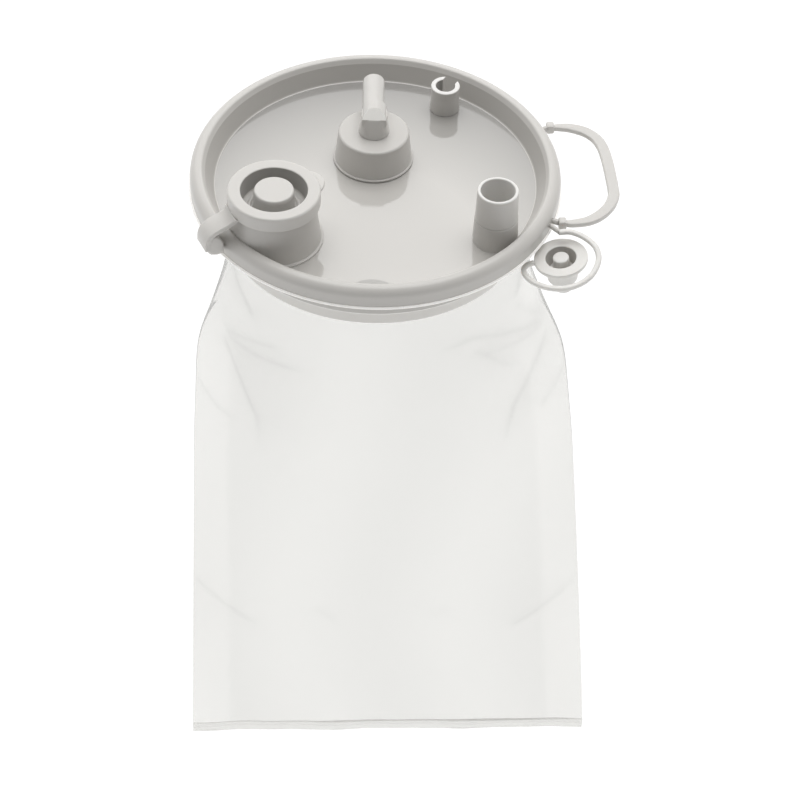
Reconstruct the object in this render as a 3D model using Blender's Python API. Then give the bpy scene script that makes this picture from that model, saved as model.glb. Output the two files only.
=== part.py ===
"""Suction canister liner: a dish-shaped lid with ports, caps and a carrying loop, over a film bag.

Metres, +Z up. The lid's axis is Z and its rim's crest is at z = 0. The bag hangs towards -Z.
The loop is on the +X side, and the pour port and the patient port are on the -Y side.
"""

import math

import bmesh
import bpy
from mathutils import Matrix, Vector

MM = 0.001
GAP = 0.3  # free space between pieces that touch, in mm; every size below is in mm too

# Lid
RIM_R = 80.0
RIM_ROUND_R = 5.0
RIM_BOTTOM_Z = -8.6
LIP_R = 81.2
LIP_T = 0.6
CREST_R = 75.0
WALL_TOP_R = 72.6
WALL_FOOT_R = 69.0
FLOOR_Z = -9.0
FLOOR_FILLET_R = 4.0
LID_T = 1.8
RIM_T = 1.6
SEAT_Z = -2.4  # ceiling of the channel that drops over a canister's rim
SEAT_IN_R = 73.8
SEAT_OUT_R = 75.8
SKIRT_R = 68.0
SKIRT_BOTTOM_Z = -23.0
SPIGOT_R = 61.9
SPIGOT_BOTTOM_Z = -31.5

# Bag
NECK_R = 63.3
WELD_RING_R = 65.1
WELD_RING_BOTTOM_Z = -31.0
SHOULDER_Z = -97.0
SHOULDER_HALF_WIDTH = 80.5
FOOT_Z = -370.0
SEAM_BOTTOM_Z = -376.0
FOOT_HALF_WIDTH = 100.0
FOOT_HALF_DEPTH = 1.6
BAG_WALL = 1.0
BAG_LEAN = 13.5  # how far the foot hangs off the lid's axis, towards +X
BAG_TILT = 0.056  # slope of the foot, whose -X corner hangs lower

# Pour port and its cap
POUR = (-41.7, -36.8)
POUR_TOP_Z = 14.7
POUR_R = 17.3
POUR_FOOT_R = 19.6
POUR_FLANGE_R = 20.6
POUR_BORE_R = 15.6
POUR_INLET_R = 9.4
CAP_TOP_Z = 16.2
CAP_R = 19.4
CAP_SKIRT_BOTTOM_Z = 10.3
CAP_SKIRT_IN_R = 18.1
CAP_HOLE_R = 14.05
CAP_PLUG_R = 15.1
CAP_PLUG_FOOT_R = 14.8
CAP_PLUG_BOTTOM_Z = 7.8
CAP_CUP_FLOOR_Z = 9.2
KNOB_R = 8.0
STRAP_HEADING = math.radians(206.0)
STRAP_OUT = Vector((math.cos(STRAP_HEADING), math.sin(STRAP_HEADING), 0))  # from the cap over the rim
HINGE_REACH = 21.0
HINGE_Z = 12.5
STRAP_WIDTH = 9.4
STRAP_T = 1.6
TAB_R = 7.6
TAB_OFFSET = 14.6
TAB_T = 1.4

# Vacuum port
VACUUM = (-1.2, 16.2)
COVER_TOP_Z = 5.8
COVER_TOP_R = 15.1
COVER_FOOT_R = 17.0
COVER_T = 1.6
COVER_BORE_R = 4.4
POST_R = 6.3
POST_TOP_Z = 15.3
TUBE_R = 4.5
TUBE_BORE_R = 3.3
TUBE_Z = 10.9
TUBE_REACH = 26.0
ELBOW_SPIGOT_R = 3.9
ELBOW_BORE_R = 2.6
INLET_R = 9.0

# Patient port and its cap
PATIENT = (50.0, -34.3)
SLEEVE_TOP_Z = 16.3
SLEEVE_TOP_R = 8.5
SLEEVE_SEAM_Z = 2.6
PATIENT_FOOT_R = 9.4
PATIENT_BORE_R = 7.2
PATIENT_CAP = (78.3, -42.8, -10.9)
PATIENT_CAP_UP = (-0.14, -0.05, 1.0)
PATIENT_CAP_R = 11.3

# Slotted tube holder
HOLDER = (29.6, 51.7)
HOLDER_TOP_Z = 3.4
HOLDER_R = 6.1
HOLDER_BORE_R = 4.1
HOLDER_SLOT_HEADING = math.radians(60.0)
HOLDER_SLOT_HALF = 3.0

# Carrying loop: the axis runs from the back pin to the front pin
PIN_BACK = Vector((75.6, 36.0, -6.0))
PIN_FRONT = Vector((79.1, -27.0, -6.0))
PIN_R = 0.8
KNUCKLE_R = 1.9
KNUCKLE_BORE_R = 1.1
KNUCKLE_LENGTH = 3.4
LUG_T = 2.4
LOOP_STRAP_WIDTH = 4.2
LOOP_STRAP_T = 1.6
TETHER_R = 1.1
TETHER_ROOT = Vector((77.4, -33.4, -5.4))

# Non-return valve under the patient port, a little nearer the lid's axis than the port
VALVE = (PATIENT[0] * 0.9125, PATIENT[1] * 0.9125)
VALVE_BORE_R = 3.0
VALVE_SEAT_R = 4.6
FLAP_R = 4.2
FLAP_TOP_Z = -17.5
FLAP_T = 1.0
FLAP_HINGE_X = VALVE[0] - 5.2

WELD = 0.004  # points closer than this after a boolean are one point
ROUND_LARGE = 96
ROUND_MEDIUM = 48
ROUND_TUBE = 32
ROUND_SMALL = 24
ROUND_PIN = 16


def material(name, colour, roughness, alpha=1.0):
    """A plain moulded plastic."""
    mat = bpy.data.materials.new(name)
    mat.use_nodes = True
    shader = mat.node_tree.nodes["Principled BSDF"]
    shader.inputs["Base Color"].default_value = (*colour, 1.0)
    shader.inputs["Roughness"].default_value = roughness
    shader.inputs["Metallic"].default_value = 0.0
    shader.inputs["Alpha"].default_value = alpha
    return mat


def build(name, verts, faces, mat, smooth=True):
    """One object from vertices in millimetres, with its faces turned outward."""
    mesh = bpy.data.meshes.new(name)
    mesh.from_pydata([Vector(v) for v in verts], [], faces)
    bm = bmesh.new()
    bm.from_mesh(mesh)
    bmesh.ops.recalc_face_normals(bm, faces=bm.faces)
    bm.to_mesh(mesh)
    bm.free()
    obj = bpy.data.objects.new(name, mesh)
    bpy.context.collection.objects.link(obj)
    mesh.materials.append(mat)
    if smooth:
        mesh.shade_smooth()
        mesh.set_sharp_from_angle(angle=math.radians(35))
    return obj


def frame_along(direction):
    """Two unit vectors square to a direction."""
    axis = Vector(direction).normalized()
    helper = Vector((1, 0, 0)) if abs(axis.x) < 0.9 else Vector((0, 1, 0))
    side = helper.cross(axis).normalized()
    return side, axis.cross(side)


def lathe(name, outline, centre, mat, steps, up=(0, 0, 1)):
    """A body turned from (radius, height) points. Ends on the axis close it; otherwise it is a ring."""
    side, other = frame_along(up)
    axis = Vector(up).normalized()
    base = Vector((centre[0], centre[1], centre[2] if len(centre) > 2 else 0.0))
    verts = []
    rings = []
    for radius, height in outline:
        if radius == 0.0:
            rings.append([len(verts)] * steps)
            verts.append(base + axis * height)
            continue
        rings.append(list(range(len(verts), len(verts) + steps)))
        for i in range(steps):
            turn = 2 * math.pi * i / steps
            spoke = side * math.cos(turn) + other * math.sin(turn)
            verts.append(base + axis * height + spoke * radius)
    faces = []
    for k in range(len(rings)):
        a, b = rings[k], rings[(k + 1) % len(rings)]
        for i in range(steps):
            j = (i + 1) % steps
            corners = [a[i], a[j], b[j], b[i]]
            corners = [v for n, v in enumerate(corners) if v not in corners[:n]]
            if len(corners) > 2:
                faces.append(corners)
    return build(name, verts, faces, mat)


def arc(cx, cz, radius, start, end, count):
    """Points on a circle in an outline, angles in degrees."""
    turns = [math.radians(start + (end - start) * i / count) for i in range(count + 1)]
    return [(cx + radius * math.cos(t), cz + radius * math.sin(t)) for t in turns]


def bar(name, sections, mat, smooth=True):
    """A solid through a list of closed sections with the same number of points."""
    count = len(sections[0])
    verts = [point for section in sections for point in section]
    faces = [list(range(count))]
    for k in range(len(sections) - 1):
        for i in range(count):
            j = (i + 1) % count
            faces.append([k * count + i, k * count + j, (k + 1) * count + j, (k + 1) * count + i])
    last = (len(sections) - 1) * count
    faces.append([last + i for i in reversed(range(count))])
    return build(name, verts, faces, mat, smooth)


def cylinder(name, start, end, radius, mat, steps=ROUND_SMALL):
    """A solid round bar between two points."""
    start = Vector(start)
    length = (Vector(end) - start).length
    outline = [(0.0, 0.0), (radius, 0.0), (radius, length), (0.0, length)]
    return lathe(name, outline, start, mat, steps, up=Vector(end) - start)


def box(name, low, high, mat):
    """An axis-aligned block."""
    section = [(0, 0), (1, 0), (1, 1), (0, 1)]
    low, high = Vector(low), Vector(high)
    size = high - low
    sections = []
    for z in (low.z, high.z):
        sections.append([(low.x + size.x * a, low.y + size.y * b, z) for a, b in section])
    return bar(name, sections, mat, smooth=False)


def combine(target, tool, operation):
    """Applies an exact boolean and removes the tool."""
    step = target.modifiers.new(operation.lower(), "BOOLEAN")
    step.operation = operation
    step.solver = "EXACT"
    step.object = tool
    bpy.context.view_layer.objects.active = target
    bpy.ops.object.modifier_apply(modifier=step.name)
    bpy.data.objects.remove(tool, do_unlink=True)
    bm = bmesh.new()
    bm.from_mesh(target.data)
    bmesh.ops.remove_doubles(bm, verts=bm.verts, dist=WELD)
    bmesh.ops.dissolve_degenerate(bm, edges=bm.edges, dist=WELD)
    bm.to_mesh(target.data)
    bm.free()
    target.data.shade_smooth()
    target.data.set_sharp_from_angle(angle=math.radians(35))


def set_origin(obj, point):
    """Moves an object's origin to a point without moving its mesh."""
    obj.data.transform(Matrix.Translation(-Vector(point)))
    obj.location = point


def smoothstep(t):
    t = min(max(t, 0.0), 1.0)
    return t * t * (3 - 2 * t)


def spline(points, per_span):
    """A smooth open path through points (Catmull-Rom)."""
    pts = [Vector(p) for p in points]
    pts = [2 * pts[0] - pts[1]] + pts + [2 * pts[-1] - pts[-2]]
    path = []
    for k in range(1, len(pts) - 2):
        a, b, c, d = pts[k - 1 : k + 3]
        for i in range(per_span):
            t = i / per_span
            square = 2 * a - 5 * b + 4 * c - d
            cube = 3 * b - a - 3 * c + d
            path.append(0.5 * (2 * b + (c - a) * t + square * t**2 + cube * t**3))
    path.append(pts[-2])
    return path


def tangents(path):
    """The direction of a path at each of its points."""
    last = len(path) - 1
    return [(path[min(i + 1, last)] - path[max(i - 1, 0)]).normalized() for i in range(last + 1)]


def strap(name, path, width_vector, thickness, mat):
    """A flat band along a path; the width vector may be one vector or one per point."""
    sections = []
    for i, (point, along) in enumerate(zip(path, tangents(path))):
        across = width_vector[i] if isinstance(width_vector, list) else width_vector
        face = along.cross(across).normalized() * (thickness / 2)
        half = across / 2
        corners = [half + face, face - half, -half - face, half - face]
        sections.append([point + corner for corner in corners])
    return bar(name, sections, mat)


def cord(name, path, radius, mat, steps=10):
    """A round flexible piece along a path."""
    sections = []
    for point, along in zip(path, tangents(path)):
        side = along.cross(Vector((0, 0, 1))).normalized()
        other = along.cross(side)
        ring = []
        for i in range(steps):
            turn = 2 * math.pi * i / steps
            ring.append(point + (side * math.cos(turn) + other * math.sin(turn)) * radius)
        sections.append(ring)
    return bar(name, sections, mat)


def at(centre, z):
    return Vector((centre[0], centre[1], z))


def build_lid(mat):
    """The dish, rim, skirt and spigot as one turned body, with the ports' holes."""
    outline = [(0.0, FLOOR_Z)]
    outline += arc(WALL_FOOT_R - FLOOR_FILLET_R, FLOOR_Z + FLOOR_FILLET_R, FLOOR_FILLET_R, -90, -10, 5)
    outline += [(WALL_TOP_R, -1.4)]
    outline += [(WALL_TOP_R + 0.7, -0.4)]
    outline += arc(CREST_R, -RIM_ROUND_R, RIM_ROUND_R, 90, 0, 7)
    outline += [(RIM_R, RIM_BOTTOM_Z), (LIP_R, RIM_BOTTOM_Z), (LIP_R, RIM_BOTTOM_Z - LIP_T)]
    outline += [(RIM_R - RIM_T, RIM_BOTTOM_Z - LIP_T), (RIM_R - RIM_T, -4.8)]
    outline += [(SEAT_OUT_R, SEAT_Z), (SEAT_IN_R, SEAT_Z)]
    outline += [(WALL_FOOT_R + LID_T, -6.8), (SKIRT_R + 0.6, -10.0), (SKIRT_R, -12.0)]
    outline += [(SKIRT_R, SKIRT_BOTTOM_Z), (SPIGOT_R, SKIRT_BOTTOM_Z), (SPIGOT_R, SPIGOT_BOTTOM_Z)]
    outline += [(SPIGOT_R - LID_T, SPIGOT_BOTTOM_Z), (SPIGOT_R - LID_T, SKIRT_BOTTOM_Z + LID_T)]
    outline += [(SKIRT_R - LID_T, SKIRT_BOTTOM_Z + LID_T), (SKIRT_R - LID_T, -12.4)]
    outline += [(SKIRT_R - LID_T - 1.6, FLOOR_Z - LID_T), (0.0, FLOOR_Z - LID_T)]
    lid = lathe("lid", outline, (0, 0), mat, ROUND_LARGE)
    low, high = FLOOR_Z - 5, FLOOR_Z + 5
    for centre, radius in ((POUR, POUR_INLET_R), (VALVE, VALVE_BORE_R), (VACUUM, INLET_R)):
        tool = cylinder("bore", at(centre, low), at(centre, high), radius, mat, ROUND_MEDIUM)
        combine(lid, tool, "DIFFERENCE")


def trim_to_dish(piece, mat):
    """Cuts off what would run into the dish's wall or its rim."""
    fillet_r = WALL_FOOT_R - FLOOR_FILLET_R
    outline = [(fillet_r, FLOOR_Z - 5)]
    outline += arc(fillet_r, FLOOR_Z + FLOOR_FILLET_R, FLOOR_FILLET_R - GAP, -90, -10, 5)
    outline += [(WALL_TOP_R - GAP, -1.4), (WALL_TOP_R + 0.4, GAP), (90.0, GAP), (90.0, FLOOR_Z - 5)]
    combine(piece, lathe("wall", outline, (0, 0), mat, ROUND_LARGE), "DIFFERENCE")


def build_pour_port(mat):
    """The wide neck the bag is emptied through: a flanged foot, and a bore that funnels down."""
    base = FLOOR_Z + GAP
    outline = [(POUR_INLET_R, base), (POUR_FLANGE_R, base), (POUR_FLANGE_R, base + 0.5)]
    outline += [(POUR_FOOT_R, base + 0.9), (POUR_R, 9.6), (POUR_R, POUR_TOP_Z)]
    outline += [(POUR_BORE_R, POUR_TOP_Z), (POUR_BORE_R, 1.0)]
    port = lathe("pour_port", outline, POUR, mat, ROUND_MEDIUM)
    trim_to_dish(port, mat)


def bag_half_width(z):
    """Half the bag's width: it widens fast to the shoulder, then slowly to the foot."""
    if z > SHOULDER_Z:
        t = (WELD_RING_BOTTOM_Z - z) / (WELD_RING_BOTTOM_Z - SHOULDER_Z)
        return NECK_R + (SHOULDER_HALF_WIDTH - NECK_R) * smoothstep(t)
    t = (SHOULDER_Z - z) / (SHOULDER_Z - FOOT_Z)
    return SHOULDER_HALF_WIDTH + (FOOT_HALF_WIDTH - SHOULDER_HALF_WIDTH) * t**0.85


def bag_half_depth(z):
    """Half the bag's depth: round at the neck, flat at the foot."""
    t = min(max((WELD_RING_BOTTOM_Z - z) / (WELD_RING_BOTTOM_Z - FOOT_Z), 0.0), 1.0)
    return FOOT_HALF_DEPTH + (NECK_R - FOOT_HALF_DEPTH) * (1 - t) ** 1.15


def bag_hang(z):
    """How far a section hangs towards +X, and its slope."""
    drop = max((WELD_RING_BOTTOM_Z - z) / (WELD_RING_BOTTOM_Z - FOOT_Z), 0.0)
    return BAG_LEAN * drop**0.75, BAG_TILT * drop**0.6


def bag_ring(z, inset):
    """One section of the bag, which turns from a circle into a lens with creased sides."""
    t = smoothstep((WELD_RING_BOTTOM_Z - z) / (WELD_RING_BOTTOM_Z - SHOULDER_Z))
    width = bag_half_width(z) - inset * (1 + 2 * t)
    depth = max(bag_half_depth(z) - inset, 0.4)
    lean, tilt = bag_hang(z)
    ring = []
    for i in range(ROUND_MEDIUM):
        turn = 2 * math.pi * i / ROUND_MEDIUM
        crease = abs(math.sin(turn)) ** (0.35 * t)
        x = width * math.cos(turn)
        ring.append((lean + x, depth * math.sin(turn) * crease, z + x * tilt))
    return ring


def build_bag(mat):
    """A film tube, open at its neck and closed at its foot."""
    top = SKIRT_BOTTOM_Z - GAP
    levels = [top, WELD_RING_BOTTOM_Z]
    levels += [WELD_RING_BOTTOM_Z + (SHOULDER_Z - WELD_RING_BOTTOM_Z) * i / 8 for i in range(1, 9)]
    levels += [SHOULDER_Z + (FOOT_Z - SHOULDER_Z) * i / 12 for i in range(1, 13)]
    outer = [bag_ring(z, 0.0) for z in levels]
    inner_floor = FOOT_Z + 12
    inner_levels = [z for z in levels if z > inner_floor] + [inner_floor]
    inner = [bag_ring(z, BAG_WALL) for z in reversed(inner_levels)]
    sections = outer + inner
    count = ROUND_MEDIUM
    verts = [p for section in sections for p in section]
    faces = []
    for k in range(len(sections)):
        if k in (len(outer) - 1, len(sections) - 1):
            continue
        for i in range(count):
            j = (i + 1) % count
            faces.append([k * count + i, k * count + j, (k + 1) * count + j, (k + 1) * count + i])
    foot = (len(outer) - 1) * count
    faces.append([foot + i for i in range(count)])
    faces.append([foot + count + i for i in range(count)])
    lip = (len(sections) - 1) * count
    for i in range(count):
        j = (i + 1) % count
        faces.append([lip + i, lip + j, j, i])
    return build("bag_film", verts, faces, mat)


def build_weld_parts(ring_mat, seam_mat):
    """The ring around the bag's neck and the welded band at its foot."""
    top = SKIRT_BOTTOM_Z - GAP
    inner = NECK_R + GAP
    outline = [(inner, top), (WELD_RING_R, top), (WELD_RING_R, WELD_RING_BOTTOM_Z + 0.5)]
    outline += [(WELD_RING_R - 0.5, WELD_RING_BOTTOM_Z), (inner, WELD_RING_BOTTOM_Z)]
    lathe("weld_ring", outline, (0, 0), ring_mat, ROUND_LARGE)
    half = FOOT_HALF_DEPTH / 2
    ends = []
    for x in (-FOOT_HALF_WIDTH, FOOT_HALF_WIDTH):
        low = SEAM_BOTTOM_Z + x * BAG_TILT
        high = FOOT_Z - GAP + x * BAG_TILT
        section = [(-half, low), (half, low), (half, high), (-half, high)]
        ends.append([(BAG_LEAN + x, y, z) for y, z in section])
    bar("bag_bottom_seam", ends, seam_mat, smooth=False)


def build_vacuum_port(mats):
    """Grid, filter, cover, seal and the swivelling elbow, from the floor up."""
    grid_low, grid_high = FLOOR_Z + GAP, FLOOR_Z + 2.2
    ring = [(INLET_R + 0.4, grid_low), (14.0, grid_low), (14.0, grid_high), (INLET_R + 0.4, grid_high)]
    grid = lathe("filter_grid", ring, VACUUM, mats["filter_grid"], ROUND_MEDIUM)
    reach = INLET_R + 2
    for low, high in (((-reach, -0.8), (reach, 0.8)), ((-0.8, -reach), (0.8, reach))):
        low_corner = (VACUUM[0] + low[0], VACUUM[1] + low[1], grid_low + 0.1)
        high_corner = (VACUUM[0] + high[0], VACUUM[1] + high[1], grid_high - 0.1)
        combine(grid, box("spoke", low_corner, high_corner, mats["filter_grid"]), "UNION")
    low, high = grid_high + GAP, grid_high + GAP + 3.0
    disc = [(0.0, low), (13.2, low), (13.5, low + 0.3), (13.5, high - 0.3), (13.2, high), (0.0, high)]
    lathe("filter_disc", disc, VACUUM, mats["filter_disc"], ROUND_MEDIUM)

    base = FLOOR_Z + GAP
    cover = [(COVER_BORE_R, COVER_TOP_Z)]
    cover += arc(COVER_TOP_R - 1.0, COVER_TOP_Z - 1.0, 1.0, 90, 0, 3)
    cover += [(COVER_FOOT_R - 0.5, base + 1.0), (COVER_FOOT_R, base + 0.8)]
    cover += [(COVER_FOOT_R, base), (COVER_FOOT_R - COVER_T - 0.7, base)]
    cover += [(COVER_TOP_R - COVER_T - 0.3, COVER_TOP_Z - COVER_T)]
    cover += [(COVER_BORE_R, COVER_TOP_Z - COVER_T)]
    lathe("filter_cover", cover, VACUUM, mats["filter_cover"], ROUND_MEDIUM)

    seal_z = COVER_TOP_Z - COVER_T - 1.0
    seal = arc(ELBOW_SPIGOT_R + GAP + 0.7, seal_z, 0.7, 0, 324, 9)
    lathe("elbow_seal", seal, VACUUM, mats["elbow_seal"], ROUND_SMALL)

    foot = COVER_TOP_Z + GAP
    spigot_low = seal_z - 2.0
    bore_top = TUBE_Z + 0.7
    post = [(0.0, bore_top), (ELBOW_BORE_R, bore_top), (ELBOW_BORE_R, spigot_low)]
    post += [(ELBOW_SPIGOT_R, spigot_low)]
    post += [(ELBOW_SPIGOT_R, foot), (POST_R, foot), (POST_R - 0.2, POST_TOP_Z - 1.2)]
    post += [(POST_R - 0.5, POST_TOP_Z - 0.4), (POST_R - 1.2, POST_TOP_Z), (0.0, POST_TOP_Z)]
    elbow = lathe("vacuum_elbow", post, VACUUM, mats["vacuum_elbow"], ROUND_MEDIUM)
    start = at(VACUUM, TUBE_Z)
    tube_start = start + Vector((0, ELBOW_BORE_R + 0.9, 0))
    end = start + Vector((0, TUBE_REACH, 0))
    tube = cylinder("tube", tube_start, end, TUBE_R, mats["vacuum_elbow"], ROUND_TUBE)
    combine(elbow, tube, "UNION")
    front = VACUUM[1] - 3.4
    mitre = [(front - 9, POST_TOP_Z - 9), (front - 9, POST_TOP_Z + 9), (front + 9, POST_TOP_Z + 9)]
    wedge = [[(x, y, z) for y, z in mitre] for x in (VACUUM[0] - 9, VACUUM[0] + 9)]
    combine(elbow, bar("mitre", wedge, mats["vacuum_elbow"], smooth=False), "DIFFERENCE")
    bore_start = start - Vector((0, 1.3, 0))
    bore_end = end + Vector((0, 1.0, 0))
    passage = cylinder("passage", bore_start, bore_end, TUBE_BORE_R, mats["vacuum_elbow"], ROUND_TUBE)
    combine(elbow, passage, "DIFFERENCE")
    set_origin(elbow, at(VACUUM, TUBE_Z))


def build_patient_port(mats):
    """The socket and the sleeve on it, with the valve seat and flap under the floor."""
    base = FLOOR_Z + GAP
    socket_floor = FLOOR_Z + 4
    socket_top = SLEEVE_SEAM_Z - GAP
    outline = [(0.0, base), (PATIENT_FOOT_R, base), (PATIENT_FOOT_R - 0.4, socket_top)]
    outline += [(PATIENT_BORE_R, socket_top), (PATIENT_BORE_R, socket_floor), (0.0, socket_floor)]
    socket = lathe("patient_port", outline, PATIENT, mats["patient_port"], ROUND_MEDIUM)
    trim_to_dish(socket, mats["patient_port"])
    low, high = at(VALVE, base - 1), at(VALVE, socket_floor + 1)
    combine(socket, cylinder("bore", low, high, VALVE_BORE_R, mats["patient_port"]), "DIFFERENCE")

    low = SLEEVE_SEAM_Z
    foot_r = PATIENT_FOOT_R - 0.5
    sleeve = [(PATIENT_BORE_R, low), (foot_r, low), (SLEEVE_TOP_R, SLEEVE_TOP_Z - 0.4)]
    sleeve += [(SLEEVE_TOP_R - 0.4, SLEEVE_TOP_Z), (PATIENT_BORE_R + 0.2, SLEEVE_TOP_Z)]
    sleeve += [(PATIENT_BORE_R - 0.2, SLEEVE_TOP_Z - 0.6)]
    lathe("patient_sleeve", sleeve, PATIENT, mats["patient_sleeve"], ROUND_MEDIUM)
    top = FLOOR_Z - LID_T - GAP
    seat_low = FLAP_TOP_Z + GAP
    inner = VALVE_BORE_R + 0.2
    seat = [(inner, top), (VALVE_SEAT_R, top), (VALVE_SEAT_R, seat_low + 1)]
    seat += [(VALVE_SEAT_R - 0.8, seat_low), (inner, seat_low)]
    lathe("valve_seat", seat, VALVE, mats["valve_seat"], ROUND_MEDIUM)
    under = FLAP_TOP_Z - FLAP_T
    disc = [(0.0, FLAP_TOP_Z), (FLAP_R, FLAP_TOP_Z), (FLAP_R, under), (0.0, under)]
    flap = lathe("valve_flap", disc, VALVE, mats["valve_flap"], ROUND_MEDIUM)
    hinge = Vector((FLAP_HINGE_X, VALVE[1], FLAP_TOP_Z - FLAP_T / 2))
    side = Vector((0, 3.0, 0))
    barrel = cylinder("barrel", hinge - side, hinge + side, FLAP_T / 2, mats["valve_flap"], 12)
    combine(flap, barrel, "UNION")
    tongue_low = (FLAP_HINGE_X, VALVE[1] - 2.6, under + 0.1)
    tongue_high = (VALVE[0] - 3, VALVE[1] + 2.6, FLAP_TOP_Z - 0.1)
    combine(flap, box("tongue", tongue_low, tongue_high, mats["valve_flap"]), "UNION")
    set_origin(flap, hinge)


def build_tube_holder(mat):
    """A blind tube with a slot towards the rim, standing on the floor."""
    base = FLOOR_Z + GAP
    outline = [(0.0, base), (HOLDER_R + 0.2, base), (HOLDER_R, HOLDER_TOP_Z - 0.3)]
    outline += [(HOLDER_R - 0.3, HOLDER_TOP_Z), (HOLDER_BORE_R, HOLDER_TOP_Z)]
    outline += [(HOLDER_BORE_R, base + 1.5), (0.0, base + 1.5)]
    holder = lathe("tube_holder", outline, HOLDER, mat, ROUND_MEDIUM)
    out = Vector((math.cos(HOLDER_SLOT_HEADING), math.sin(HOLDER_SLOT_HEADING), 0))
    side = Vector((-out.y, out.x, 0)) * HOLDER_SLOT_HALF
    middle = at(HOLDER, 0)
    corners = [middle - side, middle + side, middle + side + out * 9, middle - side + out * 9]
    sections = [[c + Vector((0, 0, z)) for c in corners] for z in (base + 1.9, HOLDER_TOP_Z + 2)]
    combine(holder, bar("slot", sections, mat, smooth=False), "DIFFERENCE")


def build_pour_cap(mats):
    """The cap with its plug cup, knob and grab tab; all turn about the strap's bend."""
    cap = [(0.0, CAP_PLUG_BOTTOM_Z), (CAP_PLUG_FOOT_R - 0.6, CAP_PLUG_BOTTOM_Z)]
    cap += [(CAP_PLUG_FOOT_R, CAP_PLUG_BOTTOM_Z + 0.6), (CAP_PLUG_R, POUR_TOP_Z + GAP)]
    cap += [(CAP_SKIRT_IN_R, POUR_TOP_Z + GAP), (CAP_SKIRT_IN_R, CAP_SKIRT_BOTTOM_Z)]
    cap += [(CAP_R, CAP_SKIRT_BOTTOM_Z)]
    cap += arc(CAP_R - 1.1, CAP_TOP_Z - 1.1, 1.1, 0, 90, 4)
    cap += arc(CAP_HOLE_R + 0.5, CAP_TOP_Z - 0.5, 0.5, 90, 180, 2)
    cap += [(CAP_HOLE_R - 0.5, CAP_CUP_FLOOR_Z), (0.0, CAP_CUP_FLOOR_Z)]
    body = lathe("pour_cap", cap, POUR, mats["pour_cap"], ROUND_MEDIUM)

    low = CAP_CUP_FLOOR_Z + GAP
    knob = [(0.0, low), (KNOB_R + 1.8, low), (KNOB_R + 1.8, low + 1.0), (KNOB_R + 0.9, low + 1.4)]
    knob += [(KNOB_R + 0.2, CAP_TOP_Z - 1.2)]
    knob += arc(KNOB_R - 0.6, CAP_TOP_Z - 0.6, 0.6, 0, 90, 3)
    knob += [(0.0, CAP_TOP_Z)]
    stub = lathe("pour_cap_knob", knob, POUR, mats["pour_cap_knob"], ROUND_MEDIUM)

    x = POUR[0] - STRAP_OUT.x * TAB_OFFSET
    y = POUR[1] - STRAP_OUT.y * TAB_OFFSET
    tab_top = CAP_TOP_Z - 0.8
    tab = cylinder("pour_cap_tab", (x, y, tab_top - TAB_T), (x, y, tab_top), TAB_R, mats["pour_cap_tab"])
    tool = cylinder("clear", at(POUR, 0), at(POUR, 30), CAP_R + GAP, mats["pour_cap_tab"], 64)
    combine(tab, tool, "DIFFERENCE")

    for piece in (body, stub, tab):
        set_origin(piece, at(POUR, HINGE_Z) + STRAP_OUT * HINGE_REACH)


def build_cap_strap(mats):
    """The strap from under the cap's skirt down over the rim, and the hook at its end."""
    across = Vector((-STRAP_OUT.y, STRAP_OUT.x, 0)) * STRAP_WIDTH

    def spot(reach, z):
        """A point at a distance beyond the hinge axis."""
        return at(POUR, z) + STRAP_OUT * (HINGE_REACH + reach)

    knots = [(-0.6, 9.0), (1.6, 8.6), (4.0, 6.6), (6.4, 4.4), (8.2, 1.6), (8.7, -1.6)]
    path = spline([spot(r, z) for r, z in knots], 4)
    strap("cap_strap", path, across, STRAP_T, mats["cap_strap"])
    hook = [(9.5, -2.0), (9.3, -8.2), (8.2, -11.0), (6.4, -11.6), (4.4, -11.4), (4.2, -9.7)]
    hook += [(6.2, -9.7), (7.3, -8.4), (7.7, -6.0), (7.9, -2.0)]
    sections = []
    for side in (-0.5, 0.5):
        sections.append([spot(r, z) + across * side for r, z in hook])
    bar("cap_strap_clip", sections, mats["cap_strap_clip"])


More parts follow.
